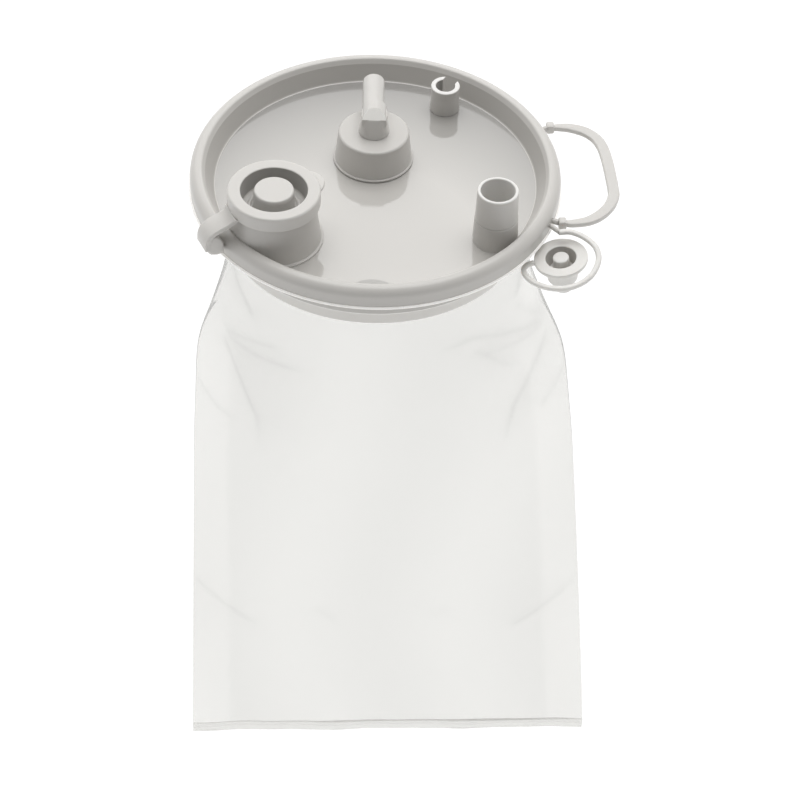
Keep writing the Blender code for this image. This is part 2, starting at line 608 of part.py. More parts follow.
def build_loop(mats):
    """The carrying loop, its end knuckles, and the brackets with the pins it turns on."""
    along = (PIN_FRONT - PIN_BACK).normalized()
    half = along * (KNUCKLE_LENGTH / 2)
    for name, pin in (("handle_end_back", PIN_BACK), ("handle_end_front", PIN_FRONT)):
        knuckle = cylinder(name, pin - half, pin + half, KNUCKLE_R, mats[name])
        grip_low = pin + Vector((0.6, -KNUCKLE_LENGTH / 2 + 0.2, -1.2))
        grip_high = pin + Vector((4.2, KNUCKLE_LENGTH / 2 - 0.2, 1.2))
        combine(knuckle, box("grip", grip_low, grip_high, mats[name]), "UNION")
        tool = cylinder("pin_bore", pin - half * 2, pin + half * 2, KNUCKLE_BORE_R, mats[name], ROUND_PIN)
        combine(knuckle, tool, "DIFFERENCE")
        set_origin(knuckle, pin)
    knots = [PIN_BACK + Vector((4.6, 0.0, 0)), (86.0, 36.3, -6.4), (93.2, 33.0, -7.0), (98.4, 25.8, -7.2)]
    knots += [(100.6, 15.0, -7.2), (101.8, 0.0, -7.2), (101.6, -9.0, -7.2), (98.8, -17.0, -7.2)]
    knots += [(93.6, -23.0, -7.0), (88.6, -26.2, -6.4), PIN_FRONT + Vector((4.6, 0.0, 0))]
    path = spline(knots, 4)
    widths = [Vector((0, 0, 1)).cross(t).normalized() * LOOP_STRAP_WIDTH for t in tangents(path)]
    loop = strap("handle_strap", path, widths, LOOP_STRAP_T, mats["handle_strap"])
    set_origin(loop, PIN_BACK)

    for name, pin, sign in (("handle_lug_back", PIN_BACK, -1), ("handle_lug_front", PIN_FRONT, 1)):
        near = pin + along * sign * (KNUCKLE_LENGTH / 2 + GAP)
        far = near + along * sign * LUG_T
        rim_x = math.sqrt((LIP_R + GAP) ** 2 - min(abs(near.y), abs(far.y)) ** 2)
        low = Vector((rim_x, min(near.y, far.y), pin.z - 2.2))
        high = Vector((pin.x + 1.8, max(near.y, far.y), pin.z + 2.2))
        lug = box(name, low, high, mats[name])
        tip = pin - along * sign * (KNUCKLE_LENGTH / 2)
        pin_root = near + along * sign * (LUG_T / 2)
        combine(lug, cylinder("pin", pin_root, tip, PIN_R, mats[name], ROUND_PIN), "UNION")


def build_patient_cap(mats):
    """The patient port's cap, its knob and the looped tether, which all turn at the tether's root."""
    up = Vector(PATIENT_CAP_UP)
    r = PATIENT_CAP_R
    well = -7.6
    cap = [(0.0, -14.2), (4.2, -14.2), (4.7, -13.6), (5.0, -9.4), (6.5, -8.8), (7.0, -1.6)]
    cap += [(r - 0.4, -1.6), (r, -1.2), (r, -0.4), (r - 0.4, 0.0), (6.5, 0.0), (6.1, -0.4)]
    cap += [(5.6, well), (0.0, well)]
    body = lathe("patient_cap", cap, PATIENT_CAP, mats["patient_cap"], ROUND_MEDIUM, up=up)
    low = well + GAP
    knob = [(0.0, low), (3.6, low), (3.5, -0.4), (3.1, 0.1), (0.0, 0.1)]
    stub = lathe("patient_cap_knob", knob, PATIENT_CAP, mats["patient_cap_knob"], ROUND_SMALL, up=up)
    knots = [TETHER_ROOT, (82.6, -34.8, -5.4), (88.4, -37.9, -5.8), (93.2, -42.9, -6.6)]
    knots += [(94.8, -48.0, -8.4), (91.8, -54.4, -10.4), (86.2, -58.4, -12.0), (79.6, -60.2, -13.0)]
    knots += [(72.2, -59.6, -13.6), (66.6, -56.6, -14.0), (63.2, -52.2, -14.2), (62.3, -48.4, -14.2)]
    knots += [(63.4, -45.4, -13.8), (65.5, -44.2, -13.5)]
    tether = cord("cap_tether", spline(knots, 4), TETHER_R, mats["cap_tether"])
    for piece in (body, stub, tether):
        set_origin(piece, TETHER_ROOT)


LID_GREY = (0.66, 0.645, 0.62)
CAP_GREY = (0.67, 0.655, 0.63)
FILM_WHITE = (0.86, 0.86, 0.84)
FINISHES = {  # node: (colour, roughness, alpha)
    "lid": (LID_GREY, 0.32, 1.0),
    "weld_ring": (LID_GREY, 0.4, 1.0),
    "bag_film": (FILM_WHITE, 0.35, 0.6),
    "bag_bottom_seam": (FILM_WHITE, 0.4, 0.75),
    "filter_grid": (LID_GREY, 0.5, 1.0),
    "filter_disc": ((0.9, 0.9, 0.88), 0.95, 1.0),
    "filter_cover": (LID_GREY, 0.3, 1.0),
    "elbow_seal": ((0.12, 0.12, 0.12), 0.6, 1.0),
    "vacuum_elbow": (LID_GREY, 0.3, 1.0),
    "pour_port": (LID_GREY, 0.36, 1.0),
    "patient_port": (LID_GREY, 0.36, 1.0),
    "patient_sleeve": (LID_GREY, 0.34, 1.0),
    "valve_seat": (LID_GREY, 0.5, 1.0),
    "valve_flap": ((0.75, 0.74, 0.7), 0.5, 1.0),
    "tube_holder": (LID_GREY, 0.34, 1.0),
    "pour_cap": (CAP_GREY, 0.36, 1.0),
    "pour_cap_knob": (CAP_GREY, 0.36, 1.0),
    "pour_cap_tab": (CAP_GREY, 0.38, 1.0),
    "cap_strap": (CAP_GREY, 0.38, 1.0),
    "cap_strap_clip": (CAP_GREY, 0.4, 1.0),
    "handle_strap": (CAP_GREY, 0.42, 1.0),
    "handle_end_back": (CAP_GREY, 0.42, 1.0),
    "handle_end_front": (CAP_GREY, 0.42, 1.0),
    "handle_lug_back": (LID_GREY, 0.4, 1.0),
    "handle_lug_front": (LID_GREY, 0.4, 1.0),
    "cap_tether": (CAP_GREY, 0.42, 1.0),
    "patient_cap": (CAP_GREY, 0.36, 1.0),
    "patient_cap_knob": (CAP_GREY, 0.36, 1.0),
}


def main():
    for old in list(bpy.data.objects):
        bpy.data.objects.remove(old, do_unlink=True)
    mats = {node: material(f"{node}_plastic", *finish) for node, finish in FINISHES.items()}
    build_lid(mats["lid"])
    build_pour_port(mats["pour_port"])
    build_bag(mats["bag_film"])
    build_weld_parts(mats["weld_ring"], mats["bag_bottom_seam"])
    build_vacuum_port(mats)
    build_patient_port(mats)
    build_tube_holder(mats["tube_holder"])
    build_pour_cap(mats)
    build_cap_strap(mats)
    build_loop(mats)
    build_patient_cap(mats)
    for piece in bpy.data.objects:
        piece.data.transform(Matrix.Scale(MM, 4))
        piece.location *= MM


main()
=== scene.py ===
"""Suction canister liner: the detailed pieces, their plastics, the studio and the camera.

Shapes are built in millimetres in the row frame and scaled to metres when they are made.
"""

import math

import bmesh
import bpy
import numpy as np
from mathutils import Matrix, Vector


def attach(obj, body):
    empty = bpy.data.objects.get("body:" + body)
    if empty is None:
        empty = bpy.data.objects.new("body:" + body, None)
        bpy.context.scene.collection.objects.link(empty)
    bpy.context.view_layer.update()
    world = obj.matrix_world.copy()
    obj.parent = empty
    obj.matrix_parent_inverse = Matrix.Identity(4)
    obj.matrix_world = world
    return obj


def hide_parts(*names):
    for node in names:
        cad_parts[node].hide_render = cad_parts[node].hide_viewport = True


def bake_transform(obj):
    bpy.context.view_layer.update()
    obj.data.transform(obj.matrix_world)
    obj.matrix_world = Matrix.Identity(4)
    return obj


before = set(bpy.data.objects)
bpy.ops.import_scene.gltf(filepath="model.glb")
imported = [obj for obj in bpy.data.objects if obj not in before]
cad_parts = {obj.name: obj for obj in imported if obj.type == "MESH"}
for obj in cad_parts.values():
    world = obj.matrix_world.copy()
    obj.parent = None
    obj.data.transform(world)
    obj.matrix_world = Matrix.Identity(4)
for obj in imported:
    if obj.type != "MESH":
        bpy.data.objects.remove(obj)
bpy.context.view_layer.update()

MM = 0.001
LID = "lid_body"
CAP = "pour_cap_body"
LOOP = "handle"
SMALL_CAP = "patient_cap_body"
ELBOW = "elbow"

# The frame's own sizes, in mm
POUR = (-41.7, -36.8)
VACUUM = (-1.2, 16.2)
PATIENT = (50.0, -34.3)
HOLDER = (29.6, 51.7)
FLOOR_Z = -9.0
STRAP_HEADING = math.radians(206.0)
STRAP_OUT = Vector((math.cos(STRAP_HEADING), math.sin(STRAP_HEADING), 0))
STRAP_ACROSS = Vector((-STRAP_OUT.y, STRAP_OUT.x, 0))
HINGE_REACH = 21.0
PIN_BACK = Vector((75.6, 36.0, -6.0))
PIN_FRONT = Vector((79.1, -27.0, -6.0))
PATIENT_CAP = (78.3, -42.8, -10.9)
PATIENT_CAP_UP = Vector((-0.14, -0.05, 1.0)).normalized()
TETHER_ROOT = Vector((77.4, -33.4, -5.4))
VALVE_AT = (PATIENT[0] * 0.9125, PATIENT[1] * 0.9125)
VALVE_BORE_R = 3.0

# The detailed pieces' own sizes, in mm
UP = Vector((0, 0, 1))
RIM_R = 79.1
LIP_Z = -8.6
WALL_FOOT_R = 69.0
SKIRT_R = 68.0
SKIRT_FOOT_Z = -23.0
SPIGOT_R = 61.9
SPIGOT_FOOT_Z = -31.5
MARK_AT = (0.0, -73.5)
MARK_R = 11.7
PATIENT_SHIFT = (0.8, 0.3)
PATIENT_BORE_R = 7.2
PATIENT_SEAM_Z = 2.8
PATIENT_TOP_Z = 17.4
HOLDER_SLOT_HEADING = math.radians(60.0)
HOLDER_SLOT_HALF = 3.0
STRAP_WIDTH = 9.4
STRAP_HALF_THICK = 0.8
STRAP_RIB = 0.5
POST_STEPS = 8
POST_FOOT_Z = 5.95
POST_HEIGHT = 9.4
HEAD_FRONT = 4.2
TUBE_SHIFT = Vector((-0.6, 0, 0))
LUG_R = 1.3
ELBOW_AXIS_Z = 13.5
MITRE_Z = 15.1
TUBE_R = 4.7
TUBE_REACH = 23.5


# ---------------------------------------------------------------- materials

def nodes_of(name):
    """A new node material: itself, its tree, its main shader and its output."""
    mat = bpy.data.materials.new(name)
    mat.use_nodes = True
    tree = mat.node_tree
    return mat, tree, tree.nodes["Principled BSDF"], tree.nodes["Material Output"]


def noise(tree, scale, detail=3.0, rough=0.5, stretch=(1, 1, 1)):
    """3-D noise in object space, in features per metre."""
    coords = tree.nodes.new("ShaderNodeTexCoord")
    mapping = tree.nodes.new("ShaderNodeMapping")
    mapping.inputs["Scale"].default_value = stretch
    tree.links.new(coords.outputs["Object"], mapping.inputs["Vector"])
    tex = tree.nodes.new("ShaderNodeTexNoise")
    tex.inputs["Scale"].default_value = scale
    tex.inputs["Detail"].default_value = detail
    tex.inputs["Roughness"].default_value = rough
    tree.links.new(mapping.outputs["Vector"], tex.inputs["Vector"])
    return tex.outputs["Fac"]


def ramp(tree, fac, low, high, start=0.3, stop=0.7):
    """Maps a factor to a value range."""
    node = tree.nodes.new("ShaderNodeMapRange")
    node.inputs["From Min"].default_value = start
    node.inputs["From Max"].default_value = stop
    node.inputs["To Min"].default_value = low
    node.inputs["To Max"].default_value = high
    tree.links.new(fac, node.inputs["Value"])
    return node.outputs["Result"]


def mottle(tree, fac, colour, depth):
    """A colour that darkens a little where the factor is low."""
    mix = tree.nodes.new("ShaderNodeMix")
    mix.data_type = "RGBA"
    mix.inputs["A"].default_value = (*[c * (1 - depth) for c in colour], 1)
    mix.inputs["B"].default_value = (*colour, 1)
    tree.links.new(fac, mix.inputs["Factor"])
    return mix.outputs["Result"]


def bump(tree, shader, height, strength, distance):
    """Lets a height factor roughen a shader's surface."""
    node = tree.nodes.new("ShaderNodeBump")
    node.inputs["Strength"].default_value = strength
    node.inputs["Distance"].default_value = distance
    tree.links.new(height, node.inputs["Height"])
    tree.links.new(node.outputs["Normal"], shader.inputs["Normal"])


def moulded(name, colour, roughness, grain=0.12, depth=0.03, soft=0.12, ior=1.49, glow=0.0):
    """Moulded plastic: faint flow mottling, uneven gloss and a fine skin texture."""
    mat, tree, shader, _ = nodes_of(name)
    broad = noise(tree, 38.0, 3.0)
    tree.links.new(mottle(tree, broad, colour, depth), shader.inputs["Base Color"])
    patch = noise(tree, 90.0, 2.0)
    spread = min(0.03, grain * 0.3)
    tree.links.new(ramp(tree, patch, roughness - spread, roughness + spread), shader.inputs["Roughness"])
    fine = noise(tree, 1900.0, 2.0, 0.6)
    bump(tree, shader, fine, grain, 0.0002)
    shader.inputs["Subsurface Weight"].default_value = soft
    shader.inputs["Subsurface Radius"].default_value = (1.0, 0.95, 0.9)
    shader.inputs["Subsurface Scale"].default_value = 0.002
    shader.inputs["IOR"].default_value = ior
    shader.inputs["Emission Color"].default_value = (*colour, 1)
    shader.inputs["Emission Strength"].default_value = glow
    return mat


def deepen_away(mat, centre, start, stop, share):
    """Deepens a material's colour with distance from a point, from start to stop metres away: painted shade.
    """
    tree = mat.node_tree
    shader = tree.nodes["Principled BSDF"]
    coords = tree.nodes.new("ShaderNodeTexCoord")
    reach = tree.nodes.new("ShaderNodeVectorMath")
    reach.operation = "DISTANCE"
    reach.inputs[1].default_value = centre
    tree.links.new(coords.outputs["Object"], reach.inputs[0])
    fade = ramp(tree, reach.outputs["Value"], 1.0, share, start, stop)
    mix = tree.nodes.new("ShaderNodeMix")
    mix.data_type = "RGBA"
    mix.blend_type = "MULTIPLY"
    mix.inputs["Factor"].default_value = 1.0
    tree.links.new(shader.inputs["Base Color"].links[0].from_socket, mix.inputs["A"])
    tree.links.new(fade, mix.inputs["B"])
    tree.links.new(mix.outputs["Result"], shader.inputs["Base Color"])


# How far the painted fold shade value darkens or lightens the film's tint.
FOLD_TONE = 0.2
FILM_WARMTH = (1.0, 0.998, 0.988)
FILM_GLOSS_IOR = 1.02


def film_material(name, tint, cover, roughness, streak):
    """Thin film: clear, with a tint that deepens with the mesh's painted fold shade (painted shade along
    creases, painted light where the value is negative), part milky, thinly glossy.
    """
    mat, tree, shader, out = nodes_of(name)
    shader.inputs["Roughness"].default_value = roughness
    shader.inputs["IOR"].default_value = 1.5
    haze = noise(tree, 14.0, 3.0, 0.5, (1.0, 1.0, 0.2))
    tree.links.new(mottle(tree, haze, (0.95, 0.945, 0.93), 0.03), shader.inputs["Base Color"])
    painted_fold_shade = tree.nodes.new("ShaderNodeAttribute")
    painted_fold_shade.attribute_name = "painted_fold_shade"
    alpha = ramp(tree, haze, cover - streak, cover + streak)
    ripple = noise(tree, 55.0, 2.0, 0.5, (1.0, 1.0, 0.5))
    bump(tree, shader, ripple, 0.10, 0.001)
    glow = tree.nodes.new("ShaderNodeBsdfTranslucent")
    glow.inputs["Color"].default_value = (0.95, 0.95, 0.93, 1)
    body = tree.nodes.new("ShaderNodeMixShader")
    body.inputs["Fac"].default_value = 0.5
    tree.links.new(shader.outputs["BSDF"], body.inputs[1])
    tree.links.new(glow.outputs["BSDF"], body.inputs[2])
    clear = tree.nodes.new("ShaderNodeBsdfTransparent")
    shade = ramp(tree, painted_fold_shade.outputs["Fac"], tint + FOLD_TONE, tint - FOLD_TONE, -1.0, 1.0)
    tone = tree.nodes.new("ShaderNodeCombineColor")
    for channel, share in zip(("Red", "Green", "Blue"), FILM_WARMTH):
        scaled = tree.nodes.new("ShaderNodeMath")
        scaled.operation = "MULTIPLY"
        scaled.inputs[1].default_value = share
        tree.links.new(shade, scaled.inputs[0])
        tree.links.new(scaled.outputs["Value"], tone.inputs[channel])
    tree.links.new(tone.outputs["Color"], clear.inputs["Color"])
    mix = tree.nodes.new("ShaderNodeMixShader")
    tree.links.new(alpha, mix.inputs["Fac"])
    tree.links.new(clear.outputs["BSDF"], mix.inputs[1])
    tree.links.new(body.outputs["Shader"], mix.inputs[2])
    gloss = tree.nodes.new("ShaderNodeBsdfGlossy")
    gloss.inputs["Roughness"].default_value = roughness
    fresnel = tree.nodes.new("ShaderNodeFresnel")
    fresnel.inputs["IOR"].default_value = FILM_GLOSS_IOR
    shine = tree.nodes.new("ShaderNodeMixShader")
    tree.links.new(fresnel.outputs["Fac"], shine.inputs["Fac"])
    tree.links.new(mix.outputs["Shader"], shine.inputs[1])
    tree.links.new(gloss.outputs["BSDF"], shine.inputs[2])
    tree.links.new(shine.outputs["Shader"], out.inputs["Surface"])
    return mat


GREY = (0.60, 0.585, 0.56)
PALE = (0.64, 0.625, 0.60)
M_FLOOR = moulded("dish_floor_gloss_and_shade", (0.56, 0.545, 0.52), 0.07, grain=0.004, depth=0.02, soft=0.0, ior=1.85)
# Painted shade: the dish floor darkens away from a point near its front, towards the back and side walls.
deepen_away(M_FLOOR, centre=(0.0, -0.035, 0.0), start=0.045, stop=0.10, share=0.52)
M_RIM = moulded("lid_satin", GREY, 0.28, grain=0.015, depth=0.01, soft=0.0)
# Painted shade: the dish's inner wall is a darker copy of the lid plastic, standing in for the shade on it.
M_WALL_SHADE = moulded("dish_wall_painted_shade", (0.49, 0.475, 0.45), 0.28, grain=0.015, depth=0.01, soft=0.0)
# Painted highlight: a pale, faintly glowing material for the lid's lip, the skirt's lower edge and the neck
# ring's lower edge.
M_EDGE_GLOW = moulded("lip_painted_highlight", (0.92, 0.91, 0.89), 0.25, grain=0.02, glow=0.22)
M_PORT = moulded("port_satin", GREY, 0.34, grain=0.10)
M_COVER = moulded("cover_satin", GREY, 0.32, grain=0.06)
M_ELBOW = moulded("elbow_gloss", PALE, 0.24, grain=0.03)
M_CAP = moulded("cap_soft", PALE, 0.34, grain=0.05, soft=0.2)
M_CUP = moulded("cap_cup_shade", (0.40, 0.39, 0.375), 0.30, grain=0.04)
M_LOOP = moulded("loop_soft", PALE, 0.38, grain=0.06, soft=0.2)
M_SMALL = moulded("small_cap_soft", (0.78, 0.77, 0.745), 0.36, grain=0.05, soft=0.25)
M_RING = moulded("weld_ring_satin", (0.80, 0.785, 0.755), 0.32, grain=0.03, soft=0.25)
M_SEAL = moulded("seal_rubber", (0.05, 0.05, 0.05), 0.6, grain=0.2, soft=0.0)
M_FILTER = moulded("filter_fibre", (0.85, 0.85, 0.83), 0.9, grain=0.9, soft=0.0)
M_FLAP = moulded("flap_rubber", (0.62, 0.60, 0.55), 0.5, grain=0.15, soft=0.3)
M_FILM = film_material("bag_film_clear", 0.885, 0.16, 0.30, 0.02)
M_SEAM = film_material("bag_seam_film", 0.88, 0.34, 0.30, 0.03)
# Painted light: a paler copy of the port plastic for lit top faces and the patient port's bore.
M_TOP_LIT = moulded("port_top_painted_light", (0.80, 0.79, 0.77), 0.28, grain=0.02)
# Painted light: a paler, faintly glowing copy of the elbow plastic for its upward sloping facet.
M_FACET_LIT = moulded("elbow_facet_painted_light", (0.86, 0.85, 0.82), 0.22, grain=0.02, glow=0.08)
M_MARK = moulded("floor_mark_matt", (0.50, 0.49, 0.47), 0.2, grain=0.02)


# ---------------------------------------------------------------- mesh helpers

WELD_GAP = 0.004
BOOLEAN_SHARP = 32.0
BEVEL_SHARP = 50.0


def smooth(mesh, angle):
    """Shades a mesh smooth, but keeps edges sharper than an angle in degrees."""
    mesh.shade_smooth()
    mesh.set_sharp_from_angle(angle=math.radians(angle))


def ring_quads(count, last):
    """Quads between rings 0 to last, each of count points and numbered one ring after another."""
    faces = []
    for k in range(last):
        for i in range(count):
            j = (i + 1) % count
            faces.append([k * count + i, k * count + j, (k + 1) * count + j, (k + 1) * count + i])
    return faces


def make(name, verts, faces, mats, smooth_angle=32.0, face_mats=None):
    """One object from vertices in millimetres, faces turned outward."""
    mesh = bpy.data.meshes.new(name)
    mesh.from_pydata([Vector(v) for v in verts], [], faces)
    for mat in mats if isinstance(mats, (list, tuple)) else [mats]:
        mesh.materials.append(mat)
    if face_mats:
        mesh.polygons.foreach_set("material_index", face_mats)
    bm = bmesh.new()
    bm.from_mesh(mesh)
    bmesh.ops.recalc_face_normals(bm, faces=bm.faces)
    bm.to_mesh(mesh)
    bm.free()
    obj = bpy.data.objects.new(name, mesh)
    bpy.context.collection.objects.link(obj)
    smooth(mesh, smooth_angle)
    return obj


def rounded(corners, steps=4):
    """An outline from (radius, height, rounding, share) corners.

    An arc takes at most its share of the edges beside it.
    """
    count = len(corners)
    points = []
    for i, corner in enumerate(corners):
        here = Vector(corner[:2])
        size = corner[2] if len(corner) > 2 else 0.0
        share = corner[3] if len(corner) > 3 else 0.49
        before = Vector(corners[i - 1][:2]) - here
        after = Vector(corners[(i + 1) % count][:2]) - here
        if size <= 0 or before.length < 1e-6 or after.length < 1e-6:
            points.append(tuple(here))
            continue
        half = before.angle(after) / 2
        reach = min(size / math.tan(half), before.length * share, after.length * share)
        size = reach * math.tan(half)
        middle = here + (before.normalized() + after.normalized()).normalized() * (size / math.sin(half))
        start = here + before.normalized() * reach - middle
        stop = here + after.normalized() * reach - middle
        turn = start.angle(stop)
        sense = 1.0 if start.x * stop.y - start.y * stop.x > 0 else -1.0
        for k in range(steps + 1):
            a = sense * turn * k / steps
            c, s = math.cos(a), math.sin(a)
            points.append((middle.x + start.x * c - start.y * s, middle.y + start.x * s + start.y * c))
    return points


def frame_along(direction):
    """Two unit vectors square to a direction and to each other."""
    axis = Vector(direction).normalized()
    helper = Vector((1, 0, 0)) if abs(axis.x) < 0.9 else Vector((0, 1, 0))
    side = helper.cross(axis).normalized()
    return side, axis.cross(side)


def lathe(name, outline, centre, mats, steps=128, up=(0, 0, 1), pick=None):
    """Turns an outline. pick(radius, height) gives a face's material index."""
    side, other = frame_along(up)
    axis = Vector(up).normalized()
    base = Vector((centre[0], centre[1], centre[2] if len(centre) > 2 else 0.0))
    verts, rings = [], []
    for radius, height in outline:
        if abs(radius) < 1e-6:
            rings.append([len(verts)] * steps)
            verts.append(base + axis * height)
            continue
        rings.append(list(range(len(verts), len(verts) + steps)))
        for i in range(steps):
            turn = 2 * math.pi * i / steps
            verts.append(base + axis * height + (side * math.cos(turn) + other * math.sin(turn)) * radius)
    faces, face_mats = [], []
    for k in range(len(rings)):
        a, b = rings[k], rings[(k + 1) % len(rings)]
        middle = [(p + q) / 2 for p, q in zip(outline[k], outline[(k + 1) % len(rings)])]
        for i in range(steps):
            j = (i + 1) % steps
            corners = [a[i], a[j], b[j], b[i]]
            corners = [v for n, v in enumerate(corners) if v not in corners[:n]]
            if len(corners) > 2:
                faces.append(corners)
                face_mats.append(pick(*middle) if pick else 0)
    return make(name, verts, faces, mats, face_mats=face_mats)


def sweep(name, path, section, mats, ups=None):
    """Carries a closed section along a path: one list of (side, up) points, or a list for each place."""
    count = len(section[0]) if isinstance(section[0], list) else len(section)
    last = len(path) - 1
    verts = []
    for i, point in enumerate(path):
        along = (path[min(i + 1, last)] - path[max(i - 1, 0)]).normalized()
        up = Vector(ups[i]) if ups else UP
        side = along.cross(up).normalized()
        up = side.cross(along)
        shape = section[i] if isinstance(section[0], list) else section
        verts += [point + side * a + up * b for a, b in shape]
    faces = ring_quads(count, last)
    faces.append(list(range(count)))
    faces.append([last * count + i for i in reversed(range(count))])
    return make(name, verts, faces, mats)


def round_section(width, height, radius, steps=4):
    """A rectangle with rounded corners, as (side, up) points."""
    a, b = width / 2, height / 2
    return rounded([(a, b, radius), (-a, b, radius), (-a, -b, radius), (a, -b, radius)], steps)


def spline(points, per_span):
    """A smooth open path through points (Catmull-Rom)."""
    pts = [Vector(p) for p in points]
    pts = [2 * pts[0] - pts[1]] + pts + [2 * pts[-1] - pts[-2]]
    path = []
    for k in range(1, len(pts) - 2):
        a, b, c, d = pts[k - 1 : k + 3]
        for i in range(per_span):
            t = i / per_span
            square = 2 * a - 5 * b + 4 * c - d
            cube = 3 * b - a - 3 * c + d
            path.append(0.5 * (2 * b + (c - a) * t + square * t**2 + cube * t**3))
    path.append(pts[-2])
    return path


def combine(target, tool, operation):
    """Applies an exact boolean and removes the tool."""
    step = target.modifiers.new(operation.lower(), "BOOLEAN")
    step.operation = operation
    step.solver = "EXACT"
    step.object = tool
    bpy.context.view_layer.objects.active = target
    bpy.ops.object.modifier_apply(modifier=step.name)
    bpy.data.objects.remove(tool, do_unlink=True)
    bm = bmesh.new()
    bm.from_mesh(target.data)
    bmesh.ops.remove_doubles(bm, verts=bm.verts, dist=WELD_GAP)
    bmesh.ops.dissolve_degenerate(bm, edges=bm.edges, dist=WELD_GAP)
    bm.to_mesh(target.data)
    bm.free()
    smooth(target.data, BOOLEAN_SHARP)


def loft(name, rings, mats):
    """Joins rings of points, first to last, into one closed piece."""
    count = len(rings[0])
    last = len(rings) - 1
    verts = [p for ring in rings for p in ring]
    caps = [list(range(count)), [last * count + i for i in range(count)]]
    return make(name, verts, caps + ring_quads(count, last), mats)


def soften(obj, width, segments=3, angle=28.0):
    """Rounds a piece's edges."""
    step = obj.modifiers.new("edges", "BEVEL")
    step.width = width
    step.segments = segments
    step.limit_method = "ANGLE"
    step.angle_limit = math.radians(angle)
    bpy.context.view_layer.objects.active = obj
    bpy.ops.object.modifier_apply(modifier=step.name)
    smooth(obj.data, BEVEL_SHARP)


def weighted(obj):
    """Keeps flat faces flat beside rounded edges."""
    step = obj.modifiers.new("weighted", "WEIGHTED_NORMAL")
    step.keep_sharp = True
    step.weight = 60


def place(obj, body, *nodes):
    """Scales a piece to metres, rides it on a body, and hides the CAD nodes it stands for."""
    obj.data.transform(Matrix.Scale(MM, 4))
    obj.location *= MM
    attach(obj, body)
    if nodes:
        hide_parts(*nodes)
    return obj


def at(centre, z):
    """The point at a height on a vertical axis."""
    return Vector((centre[0], centre[1], z))


def rod(name, start, end, radius, mat, steps=64):
    """A solid round bar between two points."""
    length = (Vector(end) - Vector(start)).length
    outline = [(0.0, 0.0), (radius, 0.0), (radius, length), (0.0, length)]
    return lathe(name, outline, start, mat, steps, up=Vector(end) - Vector(start))


# ---------------------------------------------------------------- lid

def lid_part(radius, height):
    """Which of the lid's materials a face takes: satin, floor gloss with painted shade, painted highlight on
    the edges, or painted shade on the inner wall.
    """
    if FLOOR_Z - 0.5 < height < FLOOR_Z + 0.2 and radius < WALL_FOOT_R - 0.5:
        return 1
    on_lip = radius > RIM_R - 0.4 and LIP_Z - 0.5 < height < LIP_Z + 0.4
    on_skirt_edge = radius > 67.0 and -23.5 < height < -22.2
    if on_lip or on_skirt_edge:
        return 2
    if FLOOR_Z + 0.2 < height < -1.8 and WALL_FOOT_R - 0.5 < radius < 73.0:
        return 3
    return 0


def build_lid():
    """The one-piece dish: floor, wall, rolled rim, skirt and film spigot, with its three holes."""
    corners = [(0.0, FLOOR_Z), (WALL_FOOT_R, FLOOR_Z, 1.3), (72.6, -2.1, 0.8), (74.0, 0.0, 1.2, 0.35)]
    corners += [(RIM_R, 0.0, 5.0, 0.8), (RIM_R, LIP_Z, 0.2), (RIM_R + 0.8, LIP_Z, 0.3)]
    corners += [(RIM_R + 0.8, LIP_Z - 0.7, 0.3), (78.0, LIP_Z - 0.7, 0.2), (77.4, -4.8, 1.0)]
    corners += [(75.4, -2.4, 0.3), (74.6, -2.4, 0.3)]
    corners += [(70.8, -6.8, 1.0), (68.6, -10.0, 1.0), (SKIRT_R, -12.0, 0.5)]
    corners += [(SKIRT_R, SKIRT_FOOT_Z, 0.4), (SPIGOT_R, SKIRT_FOOT_Z), (SPIGOT_R, SPIGOT_FOOT_Z, 0.3)]
    corners += [(SPIGOT_R - 1.8, SPIGOT_FOOT_Z, 0.3)]
    corners += [(60.1, -21.2, 0.5), (66.2, -21.2, 0.5), (66.2, -12.4, 0.8), (64.6, -10.8, 0.5)]
    corners += [(0.0, -10.8)]
    # The lid's materials: plain satin, floor gloss with painted shade, painted highlight on the edges,
    # painted shade on the inner wall.
    lid_finishes_and_painted_light = [M_RIM, M_FLOOR, M_EDGE_GLOW, M_WALL_SHADE]
    lid = lathe("lid_shell", rounded(corners, 8), (0, 0), lid_finishes_and_painted_light, 256, pick=lid_part)
    for centre, radius in ((POUR, 9.4), (VACUUM, 9.0), (VALVE_AT, VALVE_BORE_R)):
        combine(lid, rod("bore", at(centre, -14), at(centre, -5), radius, M_RIM), "DIFFERENCE")
    weighted(lid)
    place(lid, LID, "lid")


def build_neck_ring():
    """The ring that clamps the film to the spigot, with a painted highlight on its lower edge."""
    corners = [(63.6, -23.2), (65.4, -23.2, 0.2), (65.4, -30.4, 0.3), (64.9, -31.0, 0.3), (63.6, -31.0)]
    ring = lathe("neck_ring", rounded(corners, 4), (0, 0), [M_RING, M_EDGE_GLOW], 256,
                 pick=lambda r, z: 1 if z < -29.9 and r > 64.2 else 0)
    weighted(ring)
    place(ring, LID, "weld_ring")


def build_floor_mark():
    """The low half-oval mark at the front of the dish floor, cut off short of the wall."""
    low, high = FLOOR_Z + 0.02, FLOOR_Z + 0.10
    disc = [(0.0, low), (MARK_R, low), (MARK_R, high), (0.0, high)]
    mark = lathe("floor_mark", disc, MARK_AT, M_MARK, 96)
    inner, outer = WALL_FOOT_R - 2.2, 90.0
    edge = [(inner, FLOOR_Z - 1), (outer, FLOOR_Z - 1), (outer, FLOOR_Z + 1), (inner, FLOOR_Z + 1)]
    combine(mark, lathe("outside", edge, (0, 0), M_MARK, 192), "DIFFERENCE")
    place(mark, LID)


